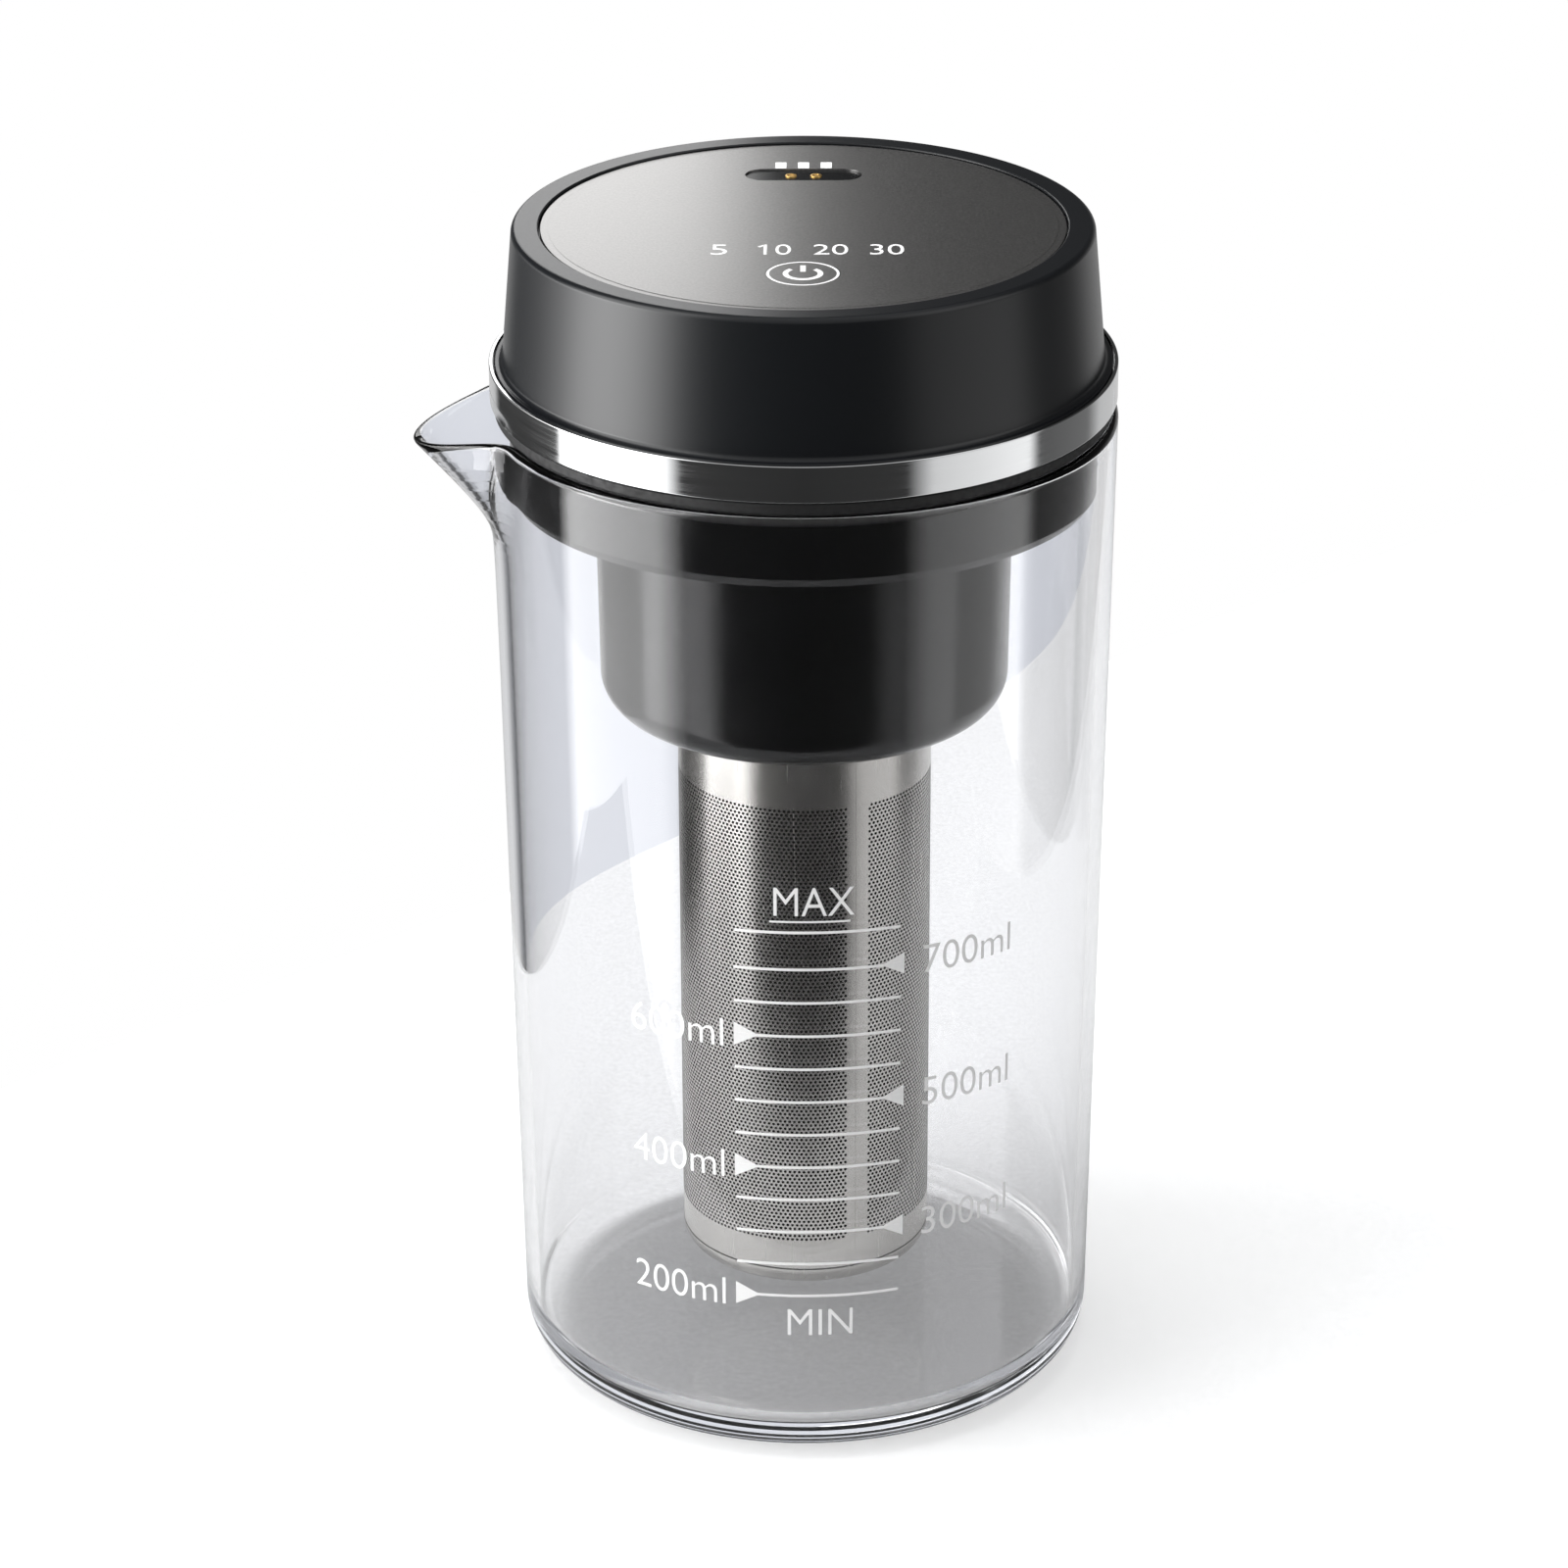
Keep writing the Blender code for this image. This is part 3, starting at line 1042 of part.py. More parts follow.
def make_stirrer(frame):
    """Drive shaft, coupling sleeve, rod and impeller, which spin together."""
    shaft_top = MOTOR_Z + MOTOR_BORE_DEPTH - FIT_GAP
    shaft = bmesh.new()
    rod(shaft, SHAFT_RADIUS, FIT_GAP, shaft_top - COUPLING_Z)
    add_piece("drive_shaft", shaft, (0, 0, COUPLING_Z), frame, "bright_steel")
    sleeve = ring(SHAFT_HOLE_RADIUS, COUPLING_RADIUS, COUPLING_LENGTH, SMALL_STEPS * 2)
    add_piece("shaft_coupling", sleeve, (0, 0, COUPLING_Z - COUPLING_LENGTH / 2), frame, "black_abs")
    rod_z = IMPELLER_Z + IMPELLER_HUB_FLOOR + FIT_GAP
    stirrer = bmesh.new()
    rod(stirrer, SHAFT_RADIUS, 0, COUPLING_Z - rod_z)
    add_piece("stirrer_rod", stirrer, (0, 0, rod_z), frame, "bright_steel")
    make_impeller(frame)


def make_impeller(frame):
    bore = SHAFT_HOLE_RADIUS
    profile = [(0, 0), (IMPELLER_HUB_RADIUS, 0), (IMPELLER_HUB_RADIUS, IMPELLER_HUB_HEIGHT),
               (bore, IMPELLER_HUB_HEIGHT), (bore, IMPELLER_HUB_FLOOR), (0, IMPELLER_HUB_FLOOR)]
    impeller = add_piece("impeller", lathe(profile, SMALL_STEPS * 2), (0, 0, IMPELLER_Z), frame,
                         "brushed_steel")
    blades = bmesh.new()
    root = IMPELLER_HUB_RADIUS - UNION_BITE
    tip = TUBE_INNER_RADIUS - BLADE_TIP_CLEARANCE
    for i in range(BLADE_COUNT):
        turn = Matrix.Rotation(FULL_TURN * i / BLADE_COUNT, 4, "Z")
        tilt = Matrix.Rotation(BLADE_PITCH, 4, "X")
        centre = turn @ Vector(((root + tip) / 2, 0, IMPELLER_HUB_HEIGHT / 2))
        block(blades, (tip - root, BLADE_THICK, BLADE_HEIGHT), centre, turn @ tilt)
    unite(impeller, "blades", blades)


# Bayonet and filter

def gap_angle():
    """Angle of each way in for a lug."""
    return LUG_ANGLE + 2 * LUG_PLAY_ANGLE


def make_filter_socket(frame):
    """Ring in the cup's well with three lips, each with a stop at both ends."""
    height = WELL_ROOF_Z - FIT_GAP - CUP_Z
    socket = add_piece("filter_socket", ring(SOCKET_INNER_RADIUS, SOCKET_RADIUS, height, MEDIUM_STEPS),
                       (0, 0, CUP_Z), frame, "black_abs")
    lips = bmesh.new()
    stops = bmesh.new()
    wall = SOCKET_INNER_RADIUS + UNION_BITE
    lip_top = LIP_LIFT + LIP_THICK
    stop_top = lip_top + FIT_GAP + LUG_THICK
    gap = gap_angle()
    for i in range(LUG_COUNT):
        way_in = FULL_TURN * i / LUG_COUNT
        lip_end = way_in - gap / 2
        lip_start = way_in - FULL_TURN / LUG_COUNT + gap / 2
        locked_stop = way_in - TWIST_ANGLE - LUG_ANGLE / 2 - STOP_GAP_ANGLE
        add_sector(lips, (LIP_INNER_RADIUS, wall), (LIP_LIFT, lip_top), lip_start, lip_end)
        for stop in (lip_start + STOP_ANGLE, locked_stop):
            add_sector(stops, (LIP_INNER_RADIUS, wall), (lip_top - UNION_BITE, stop_top),
                       stop - STOP_ANGLE, stop)
    unite(socket, "lips", lips)
    unite(socket, "stops", stops)


def make_filter_seal(frame):
    outer = NECK_RADIUS
    bm = ring(outer - FILTER_SEAL_WIDTH, outer, FILTER_SEAL_THICK, MEDIUM_STEPS)
    add_piece("filter_seal", bm, (0, 0, FILTER_SEAL_Z), frame, "grey_silicone")


def make_filter_collar(frame):
    """Neck with three lugs over a skirt that the tube is welded to."""
    shoulder_z = LIP_Z - FIT_GAP - TUBE_TOP_Z
    neck_top = NECK_TOP_Z - TUBE_TOP_Z
    profile = [(NECK_INNER_RADIUS, -COLLAR_SKIRT_DEPTH), (COLLAR_RADIUS, -COLLAR_SKIRT_DEPTH),
               (COLLAR_RADIUS, shoulder_z), (NECK_RADIUS, shoulder_z), (NECK_RADIUS, neck_top),
               (NECK_INNER_RADIUS, neck_top)]
    collar = add_piece("filter_collar", lathe(profile, MEDIUM_STEPS), (0, 0, TUBE_TOP_Z), frame,
                       "brushed_steel")
    lugs = bmesh.new()
    low = LUG_Z - TUBE_TOP_Z
    for i in range(LUG_COUNT):
        middle = FULL_TURN * i / LUG_COUNT - TWIST_ANGLE
        add_sector(lugs, (NECK_RADIUS - UNION_BITE, LUG_TIP_RADIUS), (low, low + LUG_THICK),
                   middle - LUG_ANGLE / 2, middle + LUG_ANGLE / 2)
    unite(collar, "lugs", lugs)


def make_filter_tube(frame):
    bm = ring(TUBE_INNER_RADIUS, TUBE_RADIUS, TUBE_LENGTH, MEDIUM_STEPS)
    add_piece("filter_tube", bm, (0, 0, TUBE_Z), frame, "brushed_steel")


def make_filter_base_cap(frame):
    """Round-edged pan whose spigot stands inside the tube."""
    spigot = TUBE_INNER_RADIUS - FIT_GAP
    inner = spigot - CAP_WALL
    top = CAP_HEIGHT + CAP_SPIGOT_HEIGHT
    inner_rounding = CAP_ROUNDING - CAP_WALL
    profile = [(0, 0)]
    profile += arc((TUBE_RADIUS - CAP_ROUNDING, CAP_ROUNDING), CAP_ROUNDING, -QUARTER_TURN, 0)
    profile += [(TUBE_RADIUS, CAP_HEIGHT), (spigot, CAP_HEIGHT), (spigot, top), (inner, top)]
    profile += arc((inner - inner_rounding, CAP_ROUNDING), inner_rounding, 0, -QUARTER_TURN,
                   ARC_STEPS - 1)
    profile.append((0, CAP_WALL))
    add_piece("filter_base_cap", lathe(profile, MEDIUM_STEPS), (0, 0, CAP_Z), frame, "brushed_steel")


# Internal leads

def add_lead(name, route, frame):
    """A two-core lead as a curve with a round bevel, along a route of world places."""
    curve = bpy.data.curves.new(name, "CURVE")
    curve.dimensions = "3D"
    curve.bevel_depth = LEAD_RADIUS
    curve.bevel_resolution = 2
    curve.use_fill_caps = True
    spline = curve.splines.new("POLY")
    spline.points.add(len(route) - 1)
    for target, place in zip(spline.points, route):
        target.co = (*place, 1)
    curve.materials.append(material(name, "wire_red"))
    obj = bpy.data.objects.new(name, curve)
    bpy.context.collection.objects.link(obj)
    obj.location = -frame_place(frame)
    obj.parent = frame


def make_motor_lead(frame):
    """From the motor's end cap through the plug's floor up to the board."""
    start = MOTOR_CAP_Z + MOTOR_CAP_HEIGHT + FIT_GAP
    first_bend = arc((LEAD_BEND, start), LEAD_BEND, math.pi, QUARTER_TURN, LEAD_STEPS)
    second_centre = (LEAD_PLACE_Y - LEAD_BEND, start + 2 * LEAD_BEND)
    second_bend = arc(second_centre, LEAD_BEND, -QUARTER_TURN, 0, LEAD_STEPS)
    route = [(0, y, z) for y, z in first_bend + second_bend]
    route.append((0, LEAD_PLACE_Y, BOARD_Z - FIT_GAP))
    add_lead("motor_lead", route, frame)


def make_battery_lead(frame):
    """Over the cells from their ends, then up to the board."""
    start = PLUG_FLOOR_Z + HOLDER_FLOOR + 2 * FIT_GAP + CELL_RADIUS * 2 + FIT_GAP + LEAD_RADIUS
    x = CELL_LENGTH / 2 - LEAD_BEND
    bend = arc((x - LEAD_BEND, start + LEAD_BEND), LEAD_BEND, -QUARTER_TURN, -math.pi, LEAD_STEPS)
    route = [(x, 0, start)] + [(x, 0, z) for x, z in bend]
    route.append((x - 2 * LEAD_BEND, 0, BOARD_Z - FIT_GAP))
    add_lead("battery_lead", route, frame)


def main():
    clear_scene()
    jug_frame = add_frame("jug_frame", None, (0, 0, 0))
    lid_frame = add_frame("lid_frame", jug_frame, (0, 0, GASKET_Z))
    key_frame = add_frame("key_frame", lid_frame, (0, KEY_PLACE_Y, PLATE_TOP_Z))
    filter_frame = add_frame("filter_frame", lid_frame, (0, 0, CUP_Z))
    stirrer_frame = add_frame("stirrer_frame", lid_frame, (0, 0, MOTOR_Z))

    make_jug(jug_frame)
    for make in (make_rim_gasket, make_steel_band, make_lid_base, make_housing, make_face_plate,
                 make_lid_screws, make_switch_case, make_charging_port, make_lights,
                 make_control_board, make_board_screws, make_battery, make_motor_cup,
                 make_cup_seal, make_cup_screws, make_motor, make_motor_plate,
                 make_motor_screws, make_shaft_bush, make_shaft_seal, make_filter_socket,
                 make_filter_seal, make_motor_lead, make_battery_lead):
        make(lid_frame)
    make_power_key(key_frame)
    make_stirrer(stirrer_frame)
    for make in (make_filter_collar, make_filter_tube, make_filter_base_cap):
        make(filter_frame)


main()
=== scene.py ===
"""Looks of a cold brew coffee maker: spouted glass jug, battery lid and steel filter.

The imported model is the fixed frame. Each visible piece is built again here as a fine
mesh in the same place and rides on its body, and every other node gets its finish.
Lengths are in metres, azimuths on the jug run from -Y (the front) towards +X.
"""

import json
import math

import bmesh
import bpy
from mathutils import Matrix, Vector


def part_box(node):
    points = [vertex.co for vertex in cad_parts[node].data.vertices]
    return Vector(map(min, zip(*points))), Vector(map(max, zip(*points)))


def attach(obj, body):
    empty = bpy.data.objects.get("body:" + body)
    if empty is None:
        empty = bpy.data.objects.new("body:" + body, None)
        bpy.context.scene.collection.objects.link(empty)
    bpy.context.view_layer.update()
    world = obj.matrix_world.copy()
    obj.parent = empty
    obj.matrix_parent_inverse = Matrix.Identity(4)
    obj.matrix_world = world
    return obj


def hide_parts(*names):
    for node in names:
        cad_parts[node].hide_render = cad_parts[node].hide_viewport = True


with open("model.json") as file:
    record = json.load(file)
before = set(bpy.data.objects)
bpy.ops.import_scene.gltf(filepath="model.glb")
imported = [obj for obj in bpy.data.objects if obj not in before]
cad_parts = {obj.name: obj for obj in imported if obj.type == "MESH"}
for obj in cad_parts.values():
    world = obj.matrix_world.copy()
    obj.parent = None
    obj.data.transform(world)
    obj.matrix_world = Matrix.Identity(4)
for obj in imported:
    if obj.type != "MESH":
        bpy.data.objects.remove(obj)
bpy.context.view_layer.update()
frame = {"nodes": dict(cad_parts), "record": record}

bl_info = {
    "name": "Cold Brew Coffee Maker",
    "version": (1, 0, 0),
    "blender": (4, 5, 0),
    "location": "3D View > Sidebar > Coffee Maker",
    "description": "Builds the jug, lid and filter of a cold brew coffee maker on its packed frame",
    "category": "Add Mesh",
}

MM = 0.001
FULL_TURN = 2 * math.pi
QUARTER_TURN = math.pi / 2
FIT_GAP = 0.3 * MM          # between neighbouring pieces
ROUND_STEPS = 192
FINE_ROUND_STEPS = 256
CORNER_STEPS = 8
HOLE_SIDES = 8
BRACE_RUN = 0.8 * MM        # a straight run longer than this has a brace at both ends
BRACE_STEP = 0.08 * MM      # how far a brace lies from its corner
MERGE_GAP = 0.001 * MM      # points nearer than this are one point
PRINT_HALF = 0.01 * MM      # half the thickness of a printed layer
PRINT_LIFT = 0.06 * MM      # keeps a print clear of the faceted glass below it
NOISE_LOW, NOISE_HIGH = 0.3, 0.7    # most of a noise lies between these
SMOOTH_ANGLE = math.radians(30)
JUG_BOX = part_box("glass_jug")
SPOUT_CROWDING = 1.35       # draws the jug's columns of faces together at the spout
SPOUT_DIP_POWER = 3.0       # how pointed the dip of the lip is
SPOUT_SIDE_POWER = 3.9      # how hollow the sides of the beak are
SPOUT_ROOT_WIDTH = 0.60     # width of the beak at its root, as a share of its lip
STUDIO_STRENGTH = 11.0      # brightest level of the light rings


# Sizes and colours that a user may change

def linear(hex_colour):
    """An sRGB hex colour as the linear values that Blender stores."""
    values = [int(hex_colour[i:i + 2], 16) / 255 for i in (0, 2, 4)]
    return [v / 12.92 if v <= 0.04045 else ((v + 0.055) / 1.055) ** 2.4 for v in values]


def length(name, default, description):
    """A size that the panel shows in the scene's units."""
    return bpy.props.FloatProperty(name=name, description=description, default=default,
                                   min=0.0, unit="LENGTH", precision=5)


def colour(name, hex_colour, description):
    """A colour that the panel shows, given as sRGB hex."""
    return bpy.props.FloatVectorProperty(name=name, description=description, size=3, min=0.0,
                                         max=1.0, subtype="COLOR", default=linear(hex_colour))


class JugSizes(bpy.types.PropertyGroup):
    """Sizes of the glass jug and its spout"""
    height: length("Height", JUG_BOX[1].z, "Height of the glass rim above the table")
    rim_radius: length("Rim radius", JUG_BOX[1].y, "Outer radius of the glass at its rim")
    foot_radius: length("Foot radius", 50.6 * MM, "Outer radius of the glass at its foot")
    wall: length("Wall", 2.3 * MM, "Thickness of the glass wall")
    floor: length("Floor", 5.0 * MM, "Thickness of the glass foot")
    foot_rounding: length("Foot rounding", 8.0 * MM, "Outer rounding of the foot")
    inner_rounding: length("Inner rounding", 6.0 * MM, "Rounding inside the foot")
    spout_reach: length("Spout reach", 13.6 * MM, "How far the lip stands out past the rim")
    spout_dip: length("Spout dip", 5.1 * MM, "How far the lip lies below the rim")
    spout_root: length("Spout root", 19.6 * MM, "Depth below the rim where the beak leans out")
    spout_fade: length("Spout fade", 47.0 * MM, "Depth below the rim where the wall is straight")
    spout_blend: length("Spout blend", 1.9 * MM, "Size of the bend between wall and beak")
    spout_half_angle: bpy.props.FloatProperty(
        name="Spout half angle", description="Half the angle that the spout takes of the rim",
        default=math.radians(28), min=math.radians(5), max=math.radians(60), subtype="ANGLE")


class MarkSizes(bpy.types.PropertyGroup):
    """Sizes of the volume marks printed on the glass"""
    lowest: length("Lowest mark", 33.2 * MM, "Height of the 200 ml line")
    pitch: length("Pitch", 6.28 * MM, "Height of 50 ml in the glass")
    top: length("Top mark", 102.9 * MM, "Height of the uppermost line")
    line: length("Line", 0.5 * MM, "Thickness of a line")
    label_height: length("Label height", 5.3 * MM, "Height of the numbers")
    count: bpy.props.IntProperty(name="Lines", description="Number of evenly spaced lines",
                                 default=11, min=1, max=40)


class LidSizes(bpy.types.PropertyGroup):
    """Sizes of the lid and its face plate"""
    band_radius: length("Band radius", 53.0 * MM, "Outer radius of the steel band")
    housing_foot: length("Housing foot radius", 50.7 * MM, "Radius of the housing above its ledge")
    housing_top: length("Housing top radius", 48.8 * MM, "Radius of the housing at its rim")
    plate_radius: length("Plate radius", 43.9 * MM, "Radius of the steel face plate")
    key_radius: length("Key radius", 6.1 * MM, "Radius of the power key")
    port_length: length("Port length", 20.0 * MM, "Length of the charging port")
    port_width: length("Port width", 6.4 * MM, "Width of the charging port")
    digit_height: length("Digit height", 5.2 * MM, "Height of the time numbers")
    plug_radius: length("Plug radius", 49.8 * MM, "Radius of the plug inside the glass")
    cup_radius: length("Cup radius", 35.6 * MM, "Radius of the motor cup at its top")


class FilterSizes(bpy.types.PropertyGroup):
    """Sizes of the perforated filter"""
    radius: length("Tube radius", 22.0 * MM, "Outer radius of the filter tube")
    hole_radius: length("Hole radius", 0.26 * MM, "Radius of one perforation")
    hole_pitch: length("Hole pitch", 0.82 * MM, "Distance between perforations in a row")
    perforated_low: length("Perforated from", 28.4 * MM, "Height of the lowest row of holes")
    perforated_high: length("Perforated to", 111.6 * MM, "Height of the topmost row of holes")
    seam_azimuth: bpy.props.FloatProperty(
        name="Seam azimuth", description="Where the plain weld strip runs, from the front",
        default=math.radians(24), subtype="ANGLE")
    seam_width: length("Seam width", 4.2 * MM, "Width of the plain strip at the weld")


class FinishColours(bpy.types.PropertyGroup):
    """Colours of the visible finishes"""
    housing: colour("Housing", "111316", "Satin moulded housing")
    gloss: colour("Plug and cup", "08090A", "Polished moulded plug and cup")
    silicone: colour("Gasket", "141415", "Silicone gasket")
    plate: colour("Face plate", "ACABAA", "Blasted steel face plate")
    band: colour("Band", "D8D9DA", "Polished steel band")
    filter: colour("Filter", "C6C4C0", "Fine ground filter steel")
    print: colour("Print", "FBFBFB", "White enamel print")


# Materials

def add_node(tree, kind, values=None, links=None, **settings):
    """Adds a node, with its settings, its socket values and the links into it."""
    node = tree.nodes.new(kind)
    for key, value in settings.items():
        setattr(node, key, value)
    for socket, value in (values or {}).items():
        node.inputs[socket].default_value = value
    for socket, source in (links or {}).items():
        tree.links.new(source, node.inputs[socket])
    return node


def new_material(name, base, roughness, metallic=0.0, **sockets):
    """A Principled material; returns it with its tree, shader and Object coordinates."""
    result = bpy.data.materials.new(name)
    result.use_nodes = True
    tree = result.node_tree
    shader = tree.nodes["Principled BSDF"]
    shader.inputs["Base Color"].default_value = (*base, 1)
    shader.inputs["Roughness"].default_value = roughness
    shader.inputs["Metallic"].default_value = metallic
    for socket, value in sockets.items():
        shader.inputs[socket.replace("_", " ")].default_value = value
    result.diffuse_color = (*base, 1)
    place = add_node(tree, "ShaderNodeTexCoord").outputs["Object"]
    return result, tree, shader, place


def grain(tree, place, grain_size, stretch=(1, 1, 1), detail=2.0):
    """Noise with features of a real size in metres, drawn out along an axis by stretch."""
    squeeze = [1 / s for s in stretch]
    mapped = add_node(tree, "ShaderNodeMapping", {"Scale": squeeze}, {"Vector": place})
    noise = add_node(tree, "ShaderNodeTexNoise", {"Scale": 1 / grain_size, "Detail": detail},
                     {"Vector": mapped.outputs["Vector"]})
    return noise.outputs["Fac"]


def spread(tree, shader, socket, source, low, high):
    """Lets noise move a socket between two values."""
    ramp = add_node(tree, "ShaderNodeMapRange", {
        "From Min": NOISE_LOW, "From Max": NOISE_HIGH, "To Min": low, "To Max": high},
        {"Value": source})
    tree.links.new(ramp.outputs["Result"], shader.inputs[socket])


def tint(tree, shader, source, base, share):
    """Lets noise darken and lighten the base colour by a share of itself."""
    dark = (*[c * (1 - share) for c in base], 1)
    light = (*[min(1.0, c * (1 + share)) for c in base], 1)
    mix = add_node(tree, "ShaderNodeMix", {"A": dark, "B": light}, {"Factor": source},
                   data_type="RGBA")
    tree.links.new(mix.outputs["Result"], shader.inputs["Base Color"])


def dents(tree, shader, source, depth, strength=1.0):
    """Bump of a real depth in metres."""
    bump = add_node(tree, "ShaderNodeBump", {"Strength": strength, "Distance": depth},
                    {"Height": source})
    tree.links.new(bump.outputs["Normal"], shader.inputs["Normal"])


def borosilicate_glass(name, base):
    """Blown clear glass: sharp reflections, with the faint waves of a drawn wall."""
    result, tree, shader, place = new_material(name, base, 0.0, Transmission_Weight=1.0, IOR=1.47)
    dents(tree, shader, grain(tree, place, 22 * MM, (1, 1, 3), 0.0), 0.05 * MM, 0.25)
    return result


def moulded_abs(name, base, roughness):
    """Moulded plastic: spark-eroded pits, drawn at 0.5 mm, that soften its highlights."""
    result, tree, shader, place = new_material(name, base, roughness)
    pits = grain(tree, place, 0.5 * MM)
    spread(tree, shader, "Roughness", pits, roughness * 0.96, roughness * 1.04)
    dents(tree, shader, pits, 0.003 * MM, 0.3)
    tint(tree, shader, grain(tree, place, 9 * MM), base, 0.06)
    return result


def polished_abs(name, base, roughness):
    """Plastic from a finely stoned mould: a softened mirror with slight flow marks."""
    result, tree, shader, place = new_material(name, base, roughness)
    flow = grain(tree, place, 14 * MM)
    spread(tree, shader, "Roughness", flow, roughness * 0.85, roughness * 1.15)
    tint(tree, shader, flow, base, 0.05)
    return result


def moulded_silicone(name, base):
    """Dull rubber with a dusty bloom."""
    result, tree, shader, place = new_material(name, base, 0.6)
    bloom = grain(tree, place, 1.2 * MM)
    spread(tree, shader, "Roughness", bloom, 0.5, 0.72)
    tint(tree, shader, grain(tree, place, 4 * MM), base, 0.12)
    dents(tree, shader, bloom, 0.02 * MM, 0.3)
    return result


def polished_steel(name, base, roughness):
    """Stainless steel mirror, with hair-fine polishing lines round the part."""
    result, tree, shader, place = new_material(name, base, roughness, 1.0)
    lines = grain(tree, place, 0.35 * MM, (60, 60, 1))
    spread(tree, shader, "Roughness", lines, roughness * 0.7, roughness * 1.4)
    dents(tree, shader, lines, 0.002 * MM, 0.25)
    tint(tree, shader, grain(tree, place, 12 * MM), base, 0.03)
    return result


def blasted_steel(name, base, roughness):
    """Bead-blasted stainless steel: an even sparkle of fine pits, drawn at 0.45 mm."""
    result, tree, shader, place = new_material(name, base, roughness, 1.0)
    pits = grain(tree, place, 0.45 * MM, detail=3.0)
    spread(tree, shader, "Roughness", pits, roughness * 0.92, roughness * 1.08)
    tint(tree, shader, pits, base, 0.32)
    dents(tree, shader, pits, 0.006 * MM, 0.4)
    return result


def ground_steel(name, base, roughness):
    """Sheet ground along its length: soft vertical streaks in the shine."""
    result, tree, shader, place = new_material(name, base, roughness, 1.0)
    streaks = grain(tree, place, 0.5 * MM, (1, 1, 50))
    spread(tree, shader, "Roughness", streaks, roughness * 0.985, roughness * 1.015)
    tint(tree, shader, streaks, base, 0.02)
    return result


def plated_metal(name, base, roughness):
    """Zinc, gilt or bronze: small dull patches in an even plating."""
    result, tree, shader, place = new_material(name, base, roughness, 1.0)
    patches = grain(tree, place, 0.8 * MM)
    spread(tree, shader, "Roughness", patches, roughness * 0.7, roughness * 1.4)
    tint(tree, shader, patches, base, 0.10)
    return result


def moulded_nylon(name, base, roughness):
    """Nylon and similar inner mouldings: slightly waxy with faint mottling."""
    result, tree, shader, place = new_material(name, base, roughness)
    mottle = grain(tree, place, 2.5 * MM)
    spread(tree, shader, "Roughness", mottle, roughness * 0.8, roughness * 1.2)
    tint(tree, shader, mottle, base, 0.08)
    return result


def enamel_print(name, base):
    """Screen-printed enamel: dense white with a slightly uneven layer."""
    result, tree, shader, place = new_material(name, base, 0.45)
    tint(tree, shader, grain(tree, place, 0.6 * MM), base, 0.04)
    return result


def milky_acrylic_painted_glow(name, base):
    """Light pipe: milky white plastic with a faint painted glow, an emission that stands in for
    light from below.
    """
    result, tree, shader, place = new_material(name, base, 0.25)
    # painted glow: emission in the base colour stands in for light reaching the pipe from below
    shader.inputs["Emission Color"].default_value = (*base, 1)
    shader.inputs["Emission Strength"].default_value = 0.35
    tint(tree, shader, grain(tree, place, 1.0 * MM), base, 0.03)
    return result


def solder_mask(name, base):
    """Board lacquer: glossy green with the weave of the board below it."""
    result, tree, shader, place = new_material(name, base, 0.4)
    weave = add_node(tree, "ShaderNodeTexChecker", {"Scale": 1 / (0.5 * MM)}, {"Vector": place})
    tint(tree, shader, weave.outputs["Fac"], base, 0.08)
    return result


def finish_named(slot):
    """The material of a record slot, made on its first use."""
    colours = bpy.context.scene.maker_colours
    kinds = {
        "clear_glass": ("blown_borosilicate_glass", borosilicate_glass, linear("FCFCFD")),
        "black_silicone": ("moulded_black_silicone", moulded_silicone, colours.silicone),
        "grey_silicone": ("moulded_grey_silicone", moulded_silicone, linear("8F9193")),
        "satin_black_plastic": ("spark_eroded_abs", moulded_abs, colours.housing, 0.30),
        "gloss_black_plastic": ("fine_moulded_abs", polished_abs, colours.gloss, 0.20),
        "satin_steel": ("bead_blasted_steel", blasted_steel, colours.plate, 0.36),
        "bright_steel": ("polished_steel", polished_steel, colours.band, 0.09),
        "brushed_steel": ("ground_steel", ground_steel, colours.filter, 0.27),
        "gilt": ("gold_plated_brass", plated_metal, linear("F2C777"), 0.35),
        "zinc_screw": ("zinc_plated_steel", plated_metal, linear("A9ACAE"), 0.32),
        "board_green": ("lacquered_board", solder_mask, linear("1F5A38")),
        "chip_black": ("moulded_epoxy", moulded_nylon, linear("202124"), 0.55),
        "light_pipe": ("moulded_milky_acrylic", milky_acrylic_painted_glow, linear("F6F7F7")),
        "cell_wrap": ("shrunk_cell_film", moulded_nylon, linear("2F6FB0"), 0.30),
        "dark_nylon": ("moulded_dark_nylon", moulded_nylon, linear("3A3B3D"), 0.55),
        "natural_nylon": ("moulded_natural_nylon", moulded_nylon, linear("E9E4D4"), 0.50),
        "bronze": ("sintered_bronze", plated_metal, linear("9C6B3A"), 0.34),
        "lead_red": ("extruded_red_vinyl", moulded_nylon, linear("B3261E"), 0.45),
    }
    name, make, *values = kinds[slot]
    return bpy.data.materials.get(name) or make(name, *values)


def perforation_painted_shade():
    """Painted shade for a perforation: the dark inside the tube seen through a hole, dull, almost
    black, never shiny.
    """
    # near-black painted shade that stands in for the shaded inside of the tube
    base = linear("151514")
    result, tree, shader, place = new_material("perforation_shadow", base, 0.9)
    shader.inputs["Specular IOR Level"].default_value = 0.1
    tint(tree, shader, grain(tree, place, 3 * MM), base, 0.15)
    return result


# Shapes

def heights(node):
    """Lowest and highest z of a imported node."""
    return [corner.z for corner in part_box(node)]


def arc(centre, radius, start, end, steps=CORNER_STEPS):
    """Points (r, z) of an arc in a turned profile, both ends included."""
    angles = [start + (end - start) * i / steps for i in range(steps + 1)]
    return [(centre[0] + radius * math.cos(a), centre[1] + radius * math.sin(a)) for a in angles]


